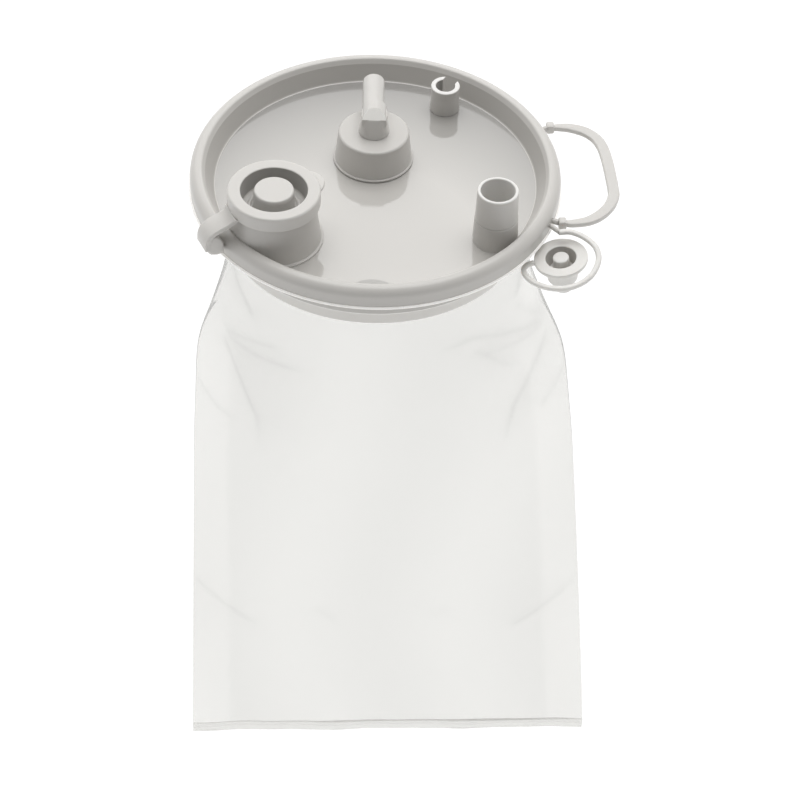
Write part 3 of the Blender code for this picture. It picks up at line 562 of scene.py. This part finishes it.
def build_pour_port():
    """The wide neck under the pour cap, its flange trimmed where it meets the dish wall."""
    corners = [(9.4, -10.6), (20.6, -10.6), (20.6, -8.2, 0.3), (19.6, -7.9, 0.4), (17.3, 9.6, 0.3)]
    corners += [(17.3, 14.7, 0.4), (15.6, 14.7, 0.4), (15.6, 1.0, 1.0), (9.4, -10.0, 0.4)]
    port = lathe("pour_neck", rounded(corners, 4), POUR, M_PORT, 96)
    outside = [(69.9, -14.0), (69.9, -7.4), (72.9, -2.2), (74.4, -0.3), (90.0, -0.3), (90.0, -14.0)]
    combine(port, lathe("outside", outside, (0, 0), M_PORT, 192), "DIFFERENCE")
    weighted(port)
    place(port, LID, "pour_port")


def build_patient_port():
    """The patient port's socket and the tapered collar above its seam."""
    centre = (PATIENT[0] + PATIENT_SHIFT[0], PATIENT[1] + PATIENT_SHIFT[1])
    seam, bore = PATIENT_SEAM_Z, PATIENT_BORE_R
    corners = [(0.0, -10.0), (9.6, -10.0), (9.55, -8.7, 0.2), (9.15, seam, 0.3), (bore, seam, 0.1)]
    corners += [(bore, -5.0, 0.6), (0.0, -5.0)]
    # Painted light: the bore's inner wall takes the paler lit material.
    socket = lathe("patient_socket", rounded(corners, 3), centre, [M_PORT, M_TOP_LIT], 96,
                   pick=lambda r, z: 1 if r < bore + 0.1 and z > -6.0 else 0)
    combine(socket, rod("bore", at(VALVE_AT, -12), at(VALVE_AT, -4), VALVE_BORE_R, M_PORT), "DIFFERENCE")
    weighted(socket)
    place(socket, LID, "patient_port")
    foot = seam + 0.05
    corners = [(bore, foot, 0.1), (8.95, foot, 0.15), (8.55, PATIENT_TOP_Z, 0.5), (bore, PATIENT_TOP_Z, 0.4)]
    # Painted light: the collar's top face and bore take the paler lit material.
    sleeve = lathe("patient_collar", rounded(corners, 4), centre, [M_PORT, M_TOP_LIT], 96,
                   pick=lambda r, z: 1 if z > PATIENT_TOP_Z - 0.4 or r < bore + 0.1 else 0)
    weighted(sleeve)
    place(sleeve, LID, "patient_sleeve")


def build_filter_housing():
    """The round cover over the vacuum port."""
    base = FLOOR_Z + 0.3
    corners = [(4.4, 5.8, 0.2), (15.1, 5.8, 1.1), (16.5, base + 1.0, 0.3), (17.2, base + 0.8, 0.2)]
    corners += [(17.2, base, 0.2), (14.7, base), (13.2, 4.2), (4.4, 4.2)]
    cover = lathe("filter_housing", rounded(corners, 5), VACUUM, M_COVER, 128)
    weighted(cover)
    place(cover, LID, "filter_cover")


def elbow_post():
    """The elbow's post: round at its foot, squarer and narrower towards its top."""
    rings = []
    for k in range(POST_STEPS + 1):
        t = k / POST_STEPS
        half, front, back = 6.6 - 1.3 * t, 6.5 - 2.3 * t, 6.3 - 1.0 * t
        power = 2.0 / (2.0 + 2.2 * t)
        ring = []
        for i in range(64):
            turn = 2 * math.pi * i / 64
            c, n = math.cos(turn), math.sin(turn)
            x = math.copysign(abs(c) ** power, c) * half
            y = math.copysign(abs(n) ** power, n) * (back if n > 0 else front)
            ring.append(at(VACUUM, POST_FOOT_Z + t * POST_HEIGHT) + Vector((x, y, 0)))
        rings.append(ring)
    return loft("elbow_body", rings, [M_ELBOW, M_FACET_LIT])


def mitre_wedge():
    """The wedge that cuts the elbow's sloping front facet."""
    front, reach = VACUUM[1] - HEAD_FRONT, 9
    low, high = MITRE_Z - reach, MITRE_Z + reach
    mitre = [(front - reach, low), (front - reach, high), (front + reach, high)]
    wedge = [(x, y, z) for x in (VACUUM[0] - reach, VACUUM[0] + reach) for y, z in mitre]
    faces = [[0, 1, 2], [5, 4, 3], [0, 3, 4, 1], [1, 4, 5, 2], [2, 5, 3, 0]]
    return make("mitre", wedge, faces, M_ELBOW)


def build_elbow():
    """The elbow: post, head and tube in one, with its facet, its passage and its spigot."""
    elbow = elbow_post()
    axis = at(VACUUM, ELBOW_AXIS_Z)
    head = rod("head", axis - Vector((0, HEAD_FRONT, 0)), axis + Vector((0, 5.5, 0)), 5.35, M_ELBOW, 96)
    combine(elbow, head, "UNION")
    root = axis + TUBE_SHIFT
    tube = rod("tube", root, root + Vector((0, TUBE_REACH, 0)), TUBE_R, M_ELBOW, 96)
    combine(elbow, tube, "UNION")
    combine(elbow, mitre_wedge(), "DIFFERENCE")
    inner = root + Vector((0, 0.5, 0))
    combine(elbow, rod("passage", inner, inner + Vector((0, 40, 0)), 3.3, M_ELBOW), "DIFFERENCE")
    combine(elbow, rod("spigot", at(VACUUM, 1.2), at(VACUUM, 6.4), 3.9, M_ELBOW), "UNION")
    combine(elbow, rod("drop", at(VACUUM, 0.0), at(VACUUM, ELBOW_AXIS_Z), 2.6, M_ELBOW), "DIFFERENCE")
    # Painted light: the sloping front facet takes the paler, faintly glowing material.
    slope = Vector((0, -1, 1)).normalized()
    for face in elbow.data.polygons:
        face.material_index = 1 if face.normal.dot(slope) > 0.995 and face.center.z > 13.0 else 0
    soften(elbow, 0.4, 3, 34.0)
    weighted(elbow)
    place(elbow, ELBOW, "vacuum_elbow")


def build_holder():
    """The slotted post that parks a tube end."""
    base = FLOOR_Z + 0.1
    corners = [(0.0, base), (6.5, base), (6.05, -1.2, 0.3), (6.3, 3.4, 0.35), (4.2, 3.4, 0.35)]
    corners += [(4.1, base + 1.8, 0.4), (0.0, base + 1.8)]
    # Painted light on the top face, painted shade inside the cup.
    holder = lathe("holder_post", rounded(corners, 4), HOLDER, [M_PORT, M_TOP_LIT, M_CUP], 96,
                   pick=lambda r, z: 1 if z > 3.1 else 2 if r < 4.4 else 0)
    out = Vector((math.cos(HOLDER_SLOT_HEADING), math.sin(HOLDER_SLOT_HEADING), 0))
    side = Vector((-out.y, out.x, 0)) * HOLDER_SLOT_HALF
    middle = at(HOLDER, 0)
    ring = [middle - side, middle + side, middle + side + out * 9, middle - side + out * 9]
    verts = [p + Vector((0, 0, z)) for z in (base + 2.0, 6.0) for p in ring]
    faces = [[0, 1, 2, 3], [7, 6, 5, 4], [0, 4, 5, 1], [1, 5, 6, 2], [2, 6, 7, 3], [3, 7, 4, 0]]
    combine(holder, make("slot", verts, faces, M_PORT), "DIFFERENCE")
    weighted(holder)
    place(holder, LID, "tube_holder")


# ---------------------------------------------------------------- pour cap and strap

def build_pour_cap():
    """The pour cap with its sunk cup, the knob in the cup and the grab tab at its edge."""
    corners = [(0.0, 6.4), (14.6, 6.4, 0.6), (15.1, 15.0), (18.1, 15.0), (18.1, 10.5, 0.2), (19.4, 10.5, 0.3)]
    corners += [(19.4, 17.0, 1.0), (14.0, 17.0, 0.45), (13.3, 8.2, 0.9), (11.4, 7.6, 0.3), (10.8, 8.6, 0.3)]
    corners += [(9.9, 8.6, 0.3), (9.4, 7.6, 0.2), (0.0, 7.6)]
    cap = lathe("cap_ring", rounded(corners, 5), POUR, [M_CAP, M_CUP, M_EDGE_GLOW], 128,
                pick=lambda r, z: 1 if 8.9 < z < 16.4 and 13.0 < r < 14.3 else 0)
    weighted(cap)
    place(cap, CAP, "pour_cap")
    corners = [(0.0, 7.7), (9.0, 7.7), (8.6, 8.9, 0.3), (8.5, 15.6, 0.3), (8.1, 17.0, 0.8), (0.0, 17.0)]
    knob = lathe("cap_knob", rounded(corners, 5), POUR, M_CAP, 96)
    weighted(knob)
    place(knob, CAP, "pour_cap_knob")
    centre = at(POUR, 0) - STRAP_OUT * 14.6
    corners = [(0.0, 14.4), (7.6, 14.4, 0.4), (7.6, 15.9, 0.5), (0.0, 15.9)]
    tab = lathe("cap_grab_tab", rounded(corners, 4), centre, M_CAP, 96)
    combine(tab, rod("clear", at(POUR, 0), at(POUR, 30), 19.0, M_CAP, 128), "DIFFERENCE")
    weighted(tab)
    place(tab, CAP, "pour_cap_tab")


def strap_spot(reach, z, side=0.0):
    """A point by its distance beyond the cap's hinge axis, its height, and its place across the strap."""
    return at(POUR, z) + STRAP_OUT * (HINGE_REACH + reach) + STRAP_ACROSS * side


def build_cap_strap():
    """The ribbed strap from the pour cap over the rim, curving down past the cap's hinge."""
    knots = [(-2.2, 10.9), (-1.0, 9.5), (1.4, 8.2), (5.0, 7.0), (7.8, 5.8), (9.8, 4.0)]
    knots += [(10.8, 1.2), (11.0, -2.4)]
    path = spline([strap_spot(r, z) for r, z in knots], 6)
    last = len(path) - 1
    sections, ups = [], []
    for i, point in enumerate(path):
        t = i / last
        width = STRAP_WIDTH + 2.4 * max(0.0, 1 - t * 7) ** 2
        a, b = width / 2, STRAP_HALF_THICK
        top = b + STRAP_RIB
        sections.append([(a, -b), (a, top), (a - 1.0, top), (a - 1.5, b), (-a + 1.5, b),
                         (-a + 1.0, top), (-a, top), (-a, -b)])
        along = (path[min(i + 1, last)] - path[max(i - 1, 0)]).normalized()
        ups.append(along.cross(STRAP_ACROSS) * -1)
    strap = sweep("strap_band", path, sections, M_CAP, ups)
    soften(strap, 0.3)
    strap.data.transform(Matrix.Scale(MM, 4))
    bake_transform(strap)
    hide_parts("cap_strap")


def build_strap_hook():
    """The block under the strap's end that grips the rim."""
    hook = [(9.6, 4.6), (11.1, 1.6), (11.2, -2.2), (9.6, -5.0), (6.6, -6.0), (3.4, -5.8)]
    hook += [(3.4, -0.6), (4.6, 2.2), (6.6, 4.4)]
    half = STRAP_WIDTH / 2 - 0.2
    verts = [strap_spot(r, z, s) for s in (-half, half) for r, z in hook]
    count = len(hook)
    faces = [list(range(count)), [count + i for i in reversed(range(count))]]
    faces += [[i, (i + 1) % count, count + (i + 1) % count, count + i] for i in range(count)]
    clip = make("strap_hook", verts, faces, M_CAP)
    soften(clip, 1.0, 4)
    place(clip, LID, "cap_strap_clip")


# ---------------------------------------------------------------- carrying loop

def build_loop():
    """The carrying loop, wider in its middle, between the two pins."""
    knots = [PIN_BACK + Vector((1.6, 0.0, 0)), PIN_BACK + Vector((4.4, 0.5, -0.2)), (85.0, 36.6, -6.6)]
    knots += [(91.6, 34.4, -7.0), (96.8, 28.4, -7.2), (99.6, 17.2, -7.2), (101.6, -2.8, -7.2)]
    knots += [(101.4, -8.2, -7.2), (99.4, -14.2, -7.2), (95.4, -19.8, -7.2), (90.0, -24.3, -6.8)]
    knots += [PIN_FRONT + Vector((4.6, 0.3, -0.2)), PIN_FRONT + Vector((1.6, 0.0, 0))]
    path = spline(knots, 10)
    last = len(path) - 1
    sections = []
    for i in range(last + 1):
        t = min(i, last - i) / last
        width = 2.6 + 2.3 * min(1.0, t * 4.5)
        sections.append(round_section(width, 2.3, 0.7, 3))
    loop = sweep("loop_strap", path, sections, M_LOOP)
    weighted(loop)
    place(loop, LOOP, "handle_strap")


def build_loop_end(side, pin):
    """One end collar of the loop, lying along the line between the pins."""
    along = (PIN_FRONT - PIN_BACK).normalized()
    across = UP.cross(along).normalized()
    section = round_section(3.4, 4.0, 0.9, 3)
    rings = [[pin + along * end - across * a + UP * b for a, b in section] for end in (-1.8, 1.8)]
    collar = loft(f"loop_end_{side}", rings, M_LOOP)
    soften(collar, 0.35)
    place(collar, LOOP, f"handle_end_{side}")


def build_lug(side, pin):
    """One lug: a stub from the rim to just short of the pin. The front one holds the tether's arm."""
    flat = Vector((pin.x, pin.y, 0))
    out = flat.normalized()
    start = out * (RIM_R - 0.8) + UP * pin.z
    end = out * (flat.length - 1.75) + UP * pin.z
    stub = rod(f"loop_lug_{side}", start, end, LUG_R, M_PORT, 32)
    if side == "front":
        arm_end = TETHER_ROOT + Vector((0.4, 0.1, 0))
        combine(stub, rod("tether_arm", Vector((73.2, -28.0, -5.8)), arm_end, 1.05, M_PORT, 32), "UNION")
    weighted(stub)
    place(stub, LID, f"handle_lug_{side}")


def build_patient_cap():
    """The small cap, its knob, and the tether that loops round it."""
    r = 11.3
    corners = [(0.0, -17.2), (4.6, -17.2, 0.8), (4.9, -11.8, 0.3), (6.4, -11.5, 0.5), (6.9, -1.8, 0.3)]
    corners += [(r, -1.8, 0.4), (r, 0.0, 0.4), (6.5, 0.0, 0.4), (5.7, -7.6, 0.4), (0.0, -7.6)]
    # Painted shade: the cup's inner wall takes the darker port grey.
    cap = lathe("small_cap", rounded(corners, 4), PATIENT_CAP, [M_SMALL, M_PORT], 96, up=PATIENT_CAP_UP,
                pick=lambda r, z: 1 if -7.4 < z < -0.6 and 5.4 < r < 6.6 else 0)
    weighted(cap)
    place(cap, SMALL_CAP, "patient_cap")
    corners = [(0.0, -7.5), (3.6, -7.5), (3.4, 0.1, 0.6), (0.0, 0.1)]
    knob = lathe("small_cap_knob", rounded(corners, 4), PATIENT_CAP, M_SMALL, 64, up=PATIENT_CAP_UP)
    weighted(knob)
    place(knob, SMALL_CAP, "patient_cap_knob")
    knots = [TETHER_ROOT, (82.4, -32.8, -5.6), (88.0, -35.2, -6.2), (92.6, -40.2, -7.0)]
    knots += [(93.8, -46.4, -8.6), (91.2, -53.2, -10.4), (86.4, -57.4, -12.0), (80.4, -59.6, -13.0)]
    knots += [(73.8, -59.2, -13.6), (67.8, -56.2, -14.0), (64.0, -51.8, -14.2), (62.9, -48.0, -14.2)]
    knots += [(64.2, -45.2, -13.8), (67.2, -44.2, -13.2)]
    tether = sweep("tether_loop", spline(knots, 10), round_section(2.4, 2.0, 0.75, 3), M_SMALL)
    weighted(tether)
    place(tether, SMALL_CAP, "cap_tether")


# ---------------------------------------------------------------- film bag

NECK_Z = -31.0
FOOT_Z = -376.0
SEAM_Z = -382.0
BAG_LEAN = 13.5
BAG_TILT = 0.056
BAG_TOP_Z = -23.4
NECK_DEPTH = 62.9
FOOT_DEPTH = 0.5
SHOULDER_DROP = 66.0
BAG_POINTS_ROUND = 360
BAG_LEVELS = 240
SEAM_POINTS = 200
SEAM_HALF_WIDTH = 101.2

# Half-width of the bag at each height: (z, half-width)
WIDTHS = [(-23.3, 63.3), (-31.0, 63.4), (-45.0, 65.0), (-59.0, 67.8), (-80.0, 74.8), (-97.0, 81.2),
          (-110.0, 83.6), (-163.0, 88.2), (-235.0, 92.8), (-300.0, 96.8), (-376.0, 101.3), (-383.0, 101.4)]

# Fold lines on the bag: (x, z) points, height, and how far each fold fades out on its two sides
FOLDS = [
    ([(-61.0, -37.0), (-58.0, -46.0), (-53.0, -51.0), (-50.5, -62.0)], 1.6, 4.0, 18.0),
    ([(-66.0, -81.5), (-52.0, -71.0), (-34.0, -63.0)], 0.9, 4.0, 9.0),
    ([(-66.0, -82.5), (-50.0, -77.0), (-20.0, -74.0)], 1.0, 5.0, 10.0),
    ([(-66.0, -82.0), (-61.3, -91.0), (-55.0, -106.0), (-50.0, -119.0), (-48.3, -150.0)], 1.5, 18.0, 5.0),
    ([(66.0, -37.0), (63.8, -44.0), (61.2, -55.0)], 1.6, 10.0, 3.0),
    ([(61.5, -54.0), (68.0, -66.0), (78.0, -80.0)], 0.8, 10.0, 4.0),
    ([(79.0, -82.0), (60.0, -67.0), (42.5, -58.0), (24.0, -60.0)], 1.0, 9.0, 4.0),
    ([(79.0, -83.0), (60.0, -74.0), (44.0, -72.0)], 0.7, 5.0, 9.0),
    ([(79.0, -83.0), (72.0, -97.0), (64.5, -112.0), (60.0, -146.0)], 1.5, 18.0, 5.0),
    ([(44.0, -66.0), (54.0, -78.0), (66.0, -92.0)], 0.8, 5.0, 9.0),
    ([(-80.0, -122.0), (-70.0, -129.0), (-58.0, -132.0)], 0.8, 4.0, 9.0),
    ([(76.0, -126.0), (84.0, -117.0), (90.0, -108.0)], 0.9, 9.0, 4.0),
    ([(-86.0, -258.0), (-68.0, -276.0), (-46.0, -291.0)], 0.9, 4.0, 12.0),
    ([(70.0, -290.0), (88.0, -276.0), (107.0, -258.0)], 0.9, 12.0, 4.0),
    ([(-25.0, -269.0), (-11.0, -285.0)], 0.5, 4.0, 8.0),
    ([(32.0, -280.0), (44.0, -267.0)], 0.5, 8.0, 4.0),
]


def bag_half_width(z):
    """Half the bag's width at a height, from a smoothed table."""
    zs = np.array([w[0] for w in WIDTHS][::-1])
    ws = np.array([w[1] for w in WIDTHS][::-1])
    total = 0.0
    for offset in (-6.0, -3.0, 0.0, 3.0, 6.0):
        total = total + np.interp(z + offset, zs, ws)
    return total / 5


def ease(t):
    """0 to 1, starting and ending gently."""
    t = np.clip(t, 0.0, 1.0)
    return t * t * (3 - 2 * t)


def fold_height(x, z, line, height, left, right):
    """A sharp ridge along a line, fading out over its own distance on either side."""
    nearest = np.full(np.shape(x), 1e9)
    side = np.zeros(np.shape(x))
    share = np.zeros(np.shape(x))
    for k in range(len(line) - 1):
        (ax, az), (bx, bz) = line[k], line[k + 1]
        dx, dz = bx - ax, bz - az
        t = np.clip(((x - ax) * dx + (z - az) * dz) / (dx * dx + dz * dz), 0.0, 1.0)
        gap = np.hypot(x - ax - t * dx, z - az - t * dz)
        closer = gap < nearest
        nearest = np.where(closer, gap, nearest)
        side = np.where(closer, dx * (z - az) - dz * (x - ax), side)
        share = np.where(closer, (k + t) / (len(line) - 1), share)
    reach = np.where(side > 0, left, right)
    return height * np.exp(-nearest / reach) * ease(share / 0.15) * ease((1 - share) / 0.35)


def foot_wave(x):
    """The slight ripple along the bag's foot."""
    return 0.5 * np.sin(x / 11.0) + 0.35 * np.sin(x / 5.3 + 1.0)


def slack(x, z):
    """How far the hanging film swells out, in broad ripples and two upright ridges."""
    swell = 0.55 * np.sin(x / 9.5 + 1.4 * np.sin(z / 47.0)) + 0.45 * np.sin(x / 16.0 - z / 38.0 + 1.1)
    swell = swell + 0.35 * np.sin(z / 21.0 + x / 30.0)
    return swell + 1.8 * np.exp(-((x + 50.0) / 9.0) ** 2) + 1.8 * np.exp(-((x - 60.0) / 8.0) ** 2)


def lighter_patches(x, z, from_middle):
    """How much lighter the film's tint is painted: along its side strips, and as painted light on one flat
    facet of the right shoulder.
    """
    strip = ease((from_middle - 0.78) / 0.06) * ease((NECK_Z - 40.0 - z) / 30.0)
    facet = np.exp(-(((x - 70.0) / 7.0) ** 2) - ((z + 57.0) / 15.0) ** 2)
    return 0.20 * strip + 0.4 * facet


def bag_point(u, z):
    """The bag's surface, and the painted shade of its folds there, with painted light on a few patches. u is
    the turn round it (0 at +X).
    """
    s = np.clip((NECK_Z - z) / (NECK_Z - FOOT_Z), 0.0, 1.0)
    t = ease((NECK_Z - z) / SHOULDER_DROP)
    width = bag_half_width(z)
    depth = FOOT_DEPTH + NECK_DEPTH * (1 - s) ** 1.2
    crease = np.abs(np.sin(u)) ** (0.4 * t)
    middle = BAG_LEAN * s ** 0.75
    x = width * np.cos(u) + middle
    y = depth * np.sin(u) * crease
    front = np.sin(u) < 0
    loose = ease((NECK_Z - 2.0 - z) / 14.0) * ease((z - FOOT_Z) / 30.0) * ease(np.abs(np.sin(u)) / 0.3)
    swell = np.minimum(slack(x, z), depth * 0.6)
    tone = np.zeros(np.shape(x))
    for line, height, left, right in FOLDS:
        mirrored = [(6.0 - px, pz - 4.0) for px, pz in line]
        near = fold_height(x, z, line, 1.0, left, right)
        far = fold_height(x, z, mirrored, 0.8, right, left)
        swell = swell + height * np.where(front, near, far)
        # Painted shade: the tint darkens along each crease line and over the broad slope beside it.
        thin = fold_height(x, z, line, 1.0, 1.3, 1.3)
        wide = fold_height(x, z, line, 1.0, left, right)
        tone = tone + np.where(front, 0.26 * thin * height + 0.13 * wide * height, 0.0)
    # Lighter tint along the side strips and painted light on the right shoulder's facet.
    tone = tone - np.where(front, lighter_patches(x, z, np.abs(x - middle) / width), 0.0)
    # Painted shade in faint broad bands across the film.
    tone = tone + 0.05 * np.sin(x / 13.0 + 1.2 * np.sin(z / 60.0)) * ease((NECK_Z - z) / 20.0)
    y = y + np.where(front, -1.0, 1.0) * swell * loose
    low = ease((-z - 330.0) / 45.0)
    height = z + (x - middle) * BAG_TILT * s ** 0.6 + foot_wave(x) * low
    return np.stack([x, y, height], -1), tone


def build_film():
    """The film bag, one sheet that is round at the neck and flat at the foot."""
    turns = np.linspace(0, 2 * np.pi, BAG_POINTS_ROUND, endpoint=False)
    levels = np.concatenate([np.linspace(BAG_TOP_Z, NECK_Z, 4)[:-1], np.linspace(NECK_Z, FOOT_Z, BAG_LEVELS)])
    points, tone = bag_point(*np.meshgrid(turns, levels))
    faces = ring_quads(BAG_POINTS_ROUND, len(levels) - 1)
    bag = make("film_bag", points.reshape(-1, 3), faces, M_FILM, smooth_angle=180)
    bag.data.attributes.new("painted_fold_shade", "FLOAT", "POINT").data.foreach_set("value", tone.reshape(-1))
    place(bag, LID, "bag_film")
    return bag


def build_foot_weld():
    """The welded band that closes the bag, with a fine raised line along it."""
    xs = np.linspace(-SEAM_HALF_WIDTH, SEAM_HALF_WIDTH, SEAM_POINTS) + BAG_LEAN
    rings = []
    for level in (FOOT_Z + 0.3, FOOT_Z - 1.6, FOOT_Z - 1.9, FOOT_Z - 2.2, FOOT_Z - 2.5, SEAM_Z):
        half = 0.7 if level in (FOOT_Z - 1.9, FOOT_Z - 2.2) else 0.35
        line = [(x, level + (x - BAG_LEAN) * BAG_TILT + w) for x, w in zip(xs, foot_wave(xs))]
        ring = [Vector((x, -half, h)) for x, h in line] + [Vector((x, half, h)) for x, h in reversed(line)]
        rings.append(ring)
    seam = loft("foot_weld", rings, M_SEAM)
    place(seam, LID, "bag_bottom_seam")
    return seam


# ---------------------------------------------------------------- studio

LIT_POINT = Vector((0, 0, -0.1))
FLOOR_DROP = 0.9
FLOOR_RADIUS = 14.0


def build_floor():
    """A wide pale paper floor under the bag."""
    mesh = bpy.data.meshes.new("studio_floor")
    bm = bmesh.new()
    bmesh.ops.create_circle(bm, cap_ends=True, radius=FLOOR_RADIUS, segments=96)
    bm.to_mesh(mesh)
    bm.free()
    floor = bpy.data.objects.new("studio_floor", mesh)
    floor.location = (0, 0, -FLOOR_DROP)
    bpy.context.collection.objects.link(floor)
    mat, tree, shader, _ = nodes_of("floor_paper")
    tree.links.new(mottle(tree, noise(tree, 3.0), (0.25, 0.25, 0.25), 0.01), shader.inputs["Base Color"])
    shader.inputs["Roughness"].default_value = 0.9
    shader.inputs["Emission Color"].default_value = (1, 1, 1, 1)
    shader.inputs["Emission Strength"].default_value = 0.86
    mesh.materials.append(mat)


def softbox(name, location, width, height, power):
    """A rectangular lamp aimed at the object, in metres and watts."""
    light = bpy.data.lights.new(name, "AREA")
    light.shape = "RECTANGLE"
    light.size = width
    light.size_y = height
    light.energy = power
    obj = bpy.data.objects.new(name, light)
    obj.location = location
    obj.rotation_euler = (LIT_POINT - Vector(location)).to_track_quat("-Z", "Y").to_euler()
    obj.visible_camera = False
    bpy.context.collection.objects.link(obj)


def build_world():
    """An even white surround, brighter behind the object than in front of it."""
    world = bpy.data.worlds.new("studio")
    world.use_nodes = True
    tree = world.node_tree
    back = tree.nodes["Background"]
    coords = tree.nodes.new("ShaderNodeTexCoord")
    split = tree.nodes.new("ShaderNodeSeparateXYZ")
    tree.links.new(coords.outputs["Generated"], split.inputs["Vector"])
    fade = ramp(tree, split.outputs["Y"], 0.20, 0.85, -0.8, 0.25)
    tree.links.new(fade, back.inputs["Strength"])
    back.inputs["Color"].default_value = (1.0, 0.995, 0.985, 1)
    bpy.context.scene.world = world
    bpy.context.scene.view_settings.view_transform = "Standard"


# The camera stands in front of the object, aimed a little to the side of its origin and below it
ELEVATION = math.radians(40.16)
DISTANCE = 1.2
SENSOR_MM = 36.0
LENS_MM = 126.405
AIM_ASIDE = math.radians(-0.4936)
AIM_BELOW = math.radians(4.7640)
ROLL = math.radians(1.5)


def build_camera():
    """The camera, in front of the object and looking down on the lid."""
    data = bpy.data.cameras.new("camera")
    data.sensor_width = SENSOR_MM
    data.lens = LENS_MM
    data.clip_end = 60.0
    camera = bpy.data.objects.new("camera", data)
    bpy.context.collection.objects.link(camera)
    place_at = Vector((0, -math.cos(ELEVATION), math.sin(ELEVATION))) * DISTANCE
    to_origin = (-place_at).normalized()
    aim = to_origin.to_track_quat("-Z", "Y").to_matrix()
    roll = Matrix.Rotation(ROLL, 3, "Z")
    tilt = Matrix.Rotation(-AIM_BELOW, 3, "X")
    pan = Matrix.Rotation(AIM_ASIDE, 3, "Y")
    camera.matrix_world = Matrix.Translation(place_at) @ (aim @ roll @ tilt @ pan).to_4x4()
    bpy.context.scene.camera = camera


build_camera()
build_lid()
build_neck_ring()
build_floor_mark()
build_pour_port()
build_patient_port()
build_filter_housing()
build_elbow()
build_holder()
build_pour_cap()
build_cap_strap()
build_strap_hook()
build_loop()
for side, pin in (("back", PIN_BACK), ("front", PIN_FRONT)):
    build_loop_end(side, pin)
    build_lug(side, pin)
build_patient_cap()
film = build_film()
foot_weld = build_foot_weld()

# The hidden pieces keep their own shapes and only take a material
for node, mat in (("filter_grid", M_PORT), ("filter_disc", M_FILTER), ("elbow_seal", M_SEAL),
                  ("valve_seat", M_PORT), ("valve_flap", M_FLAP)):
    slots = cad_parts[node].data.materials
    for i in range(len(slots)):
        slots[i] = mat

build_floor()
softbox("top_light", (0.1, 0.5, 1.9), 1.8, 1.4, 19)
softbox("back_light", (-0.3, 1.9, 1.2), 2.4, 1.2, 9)
build_world()
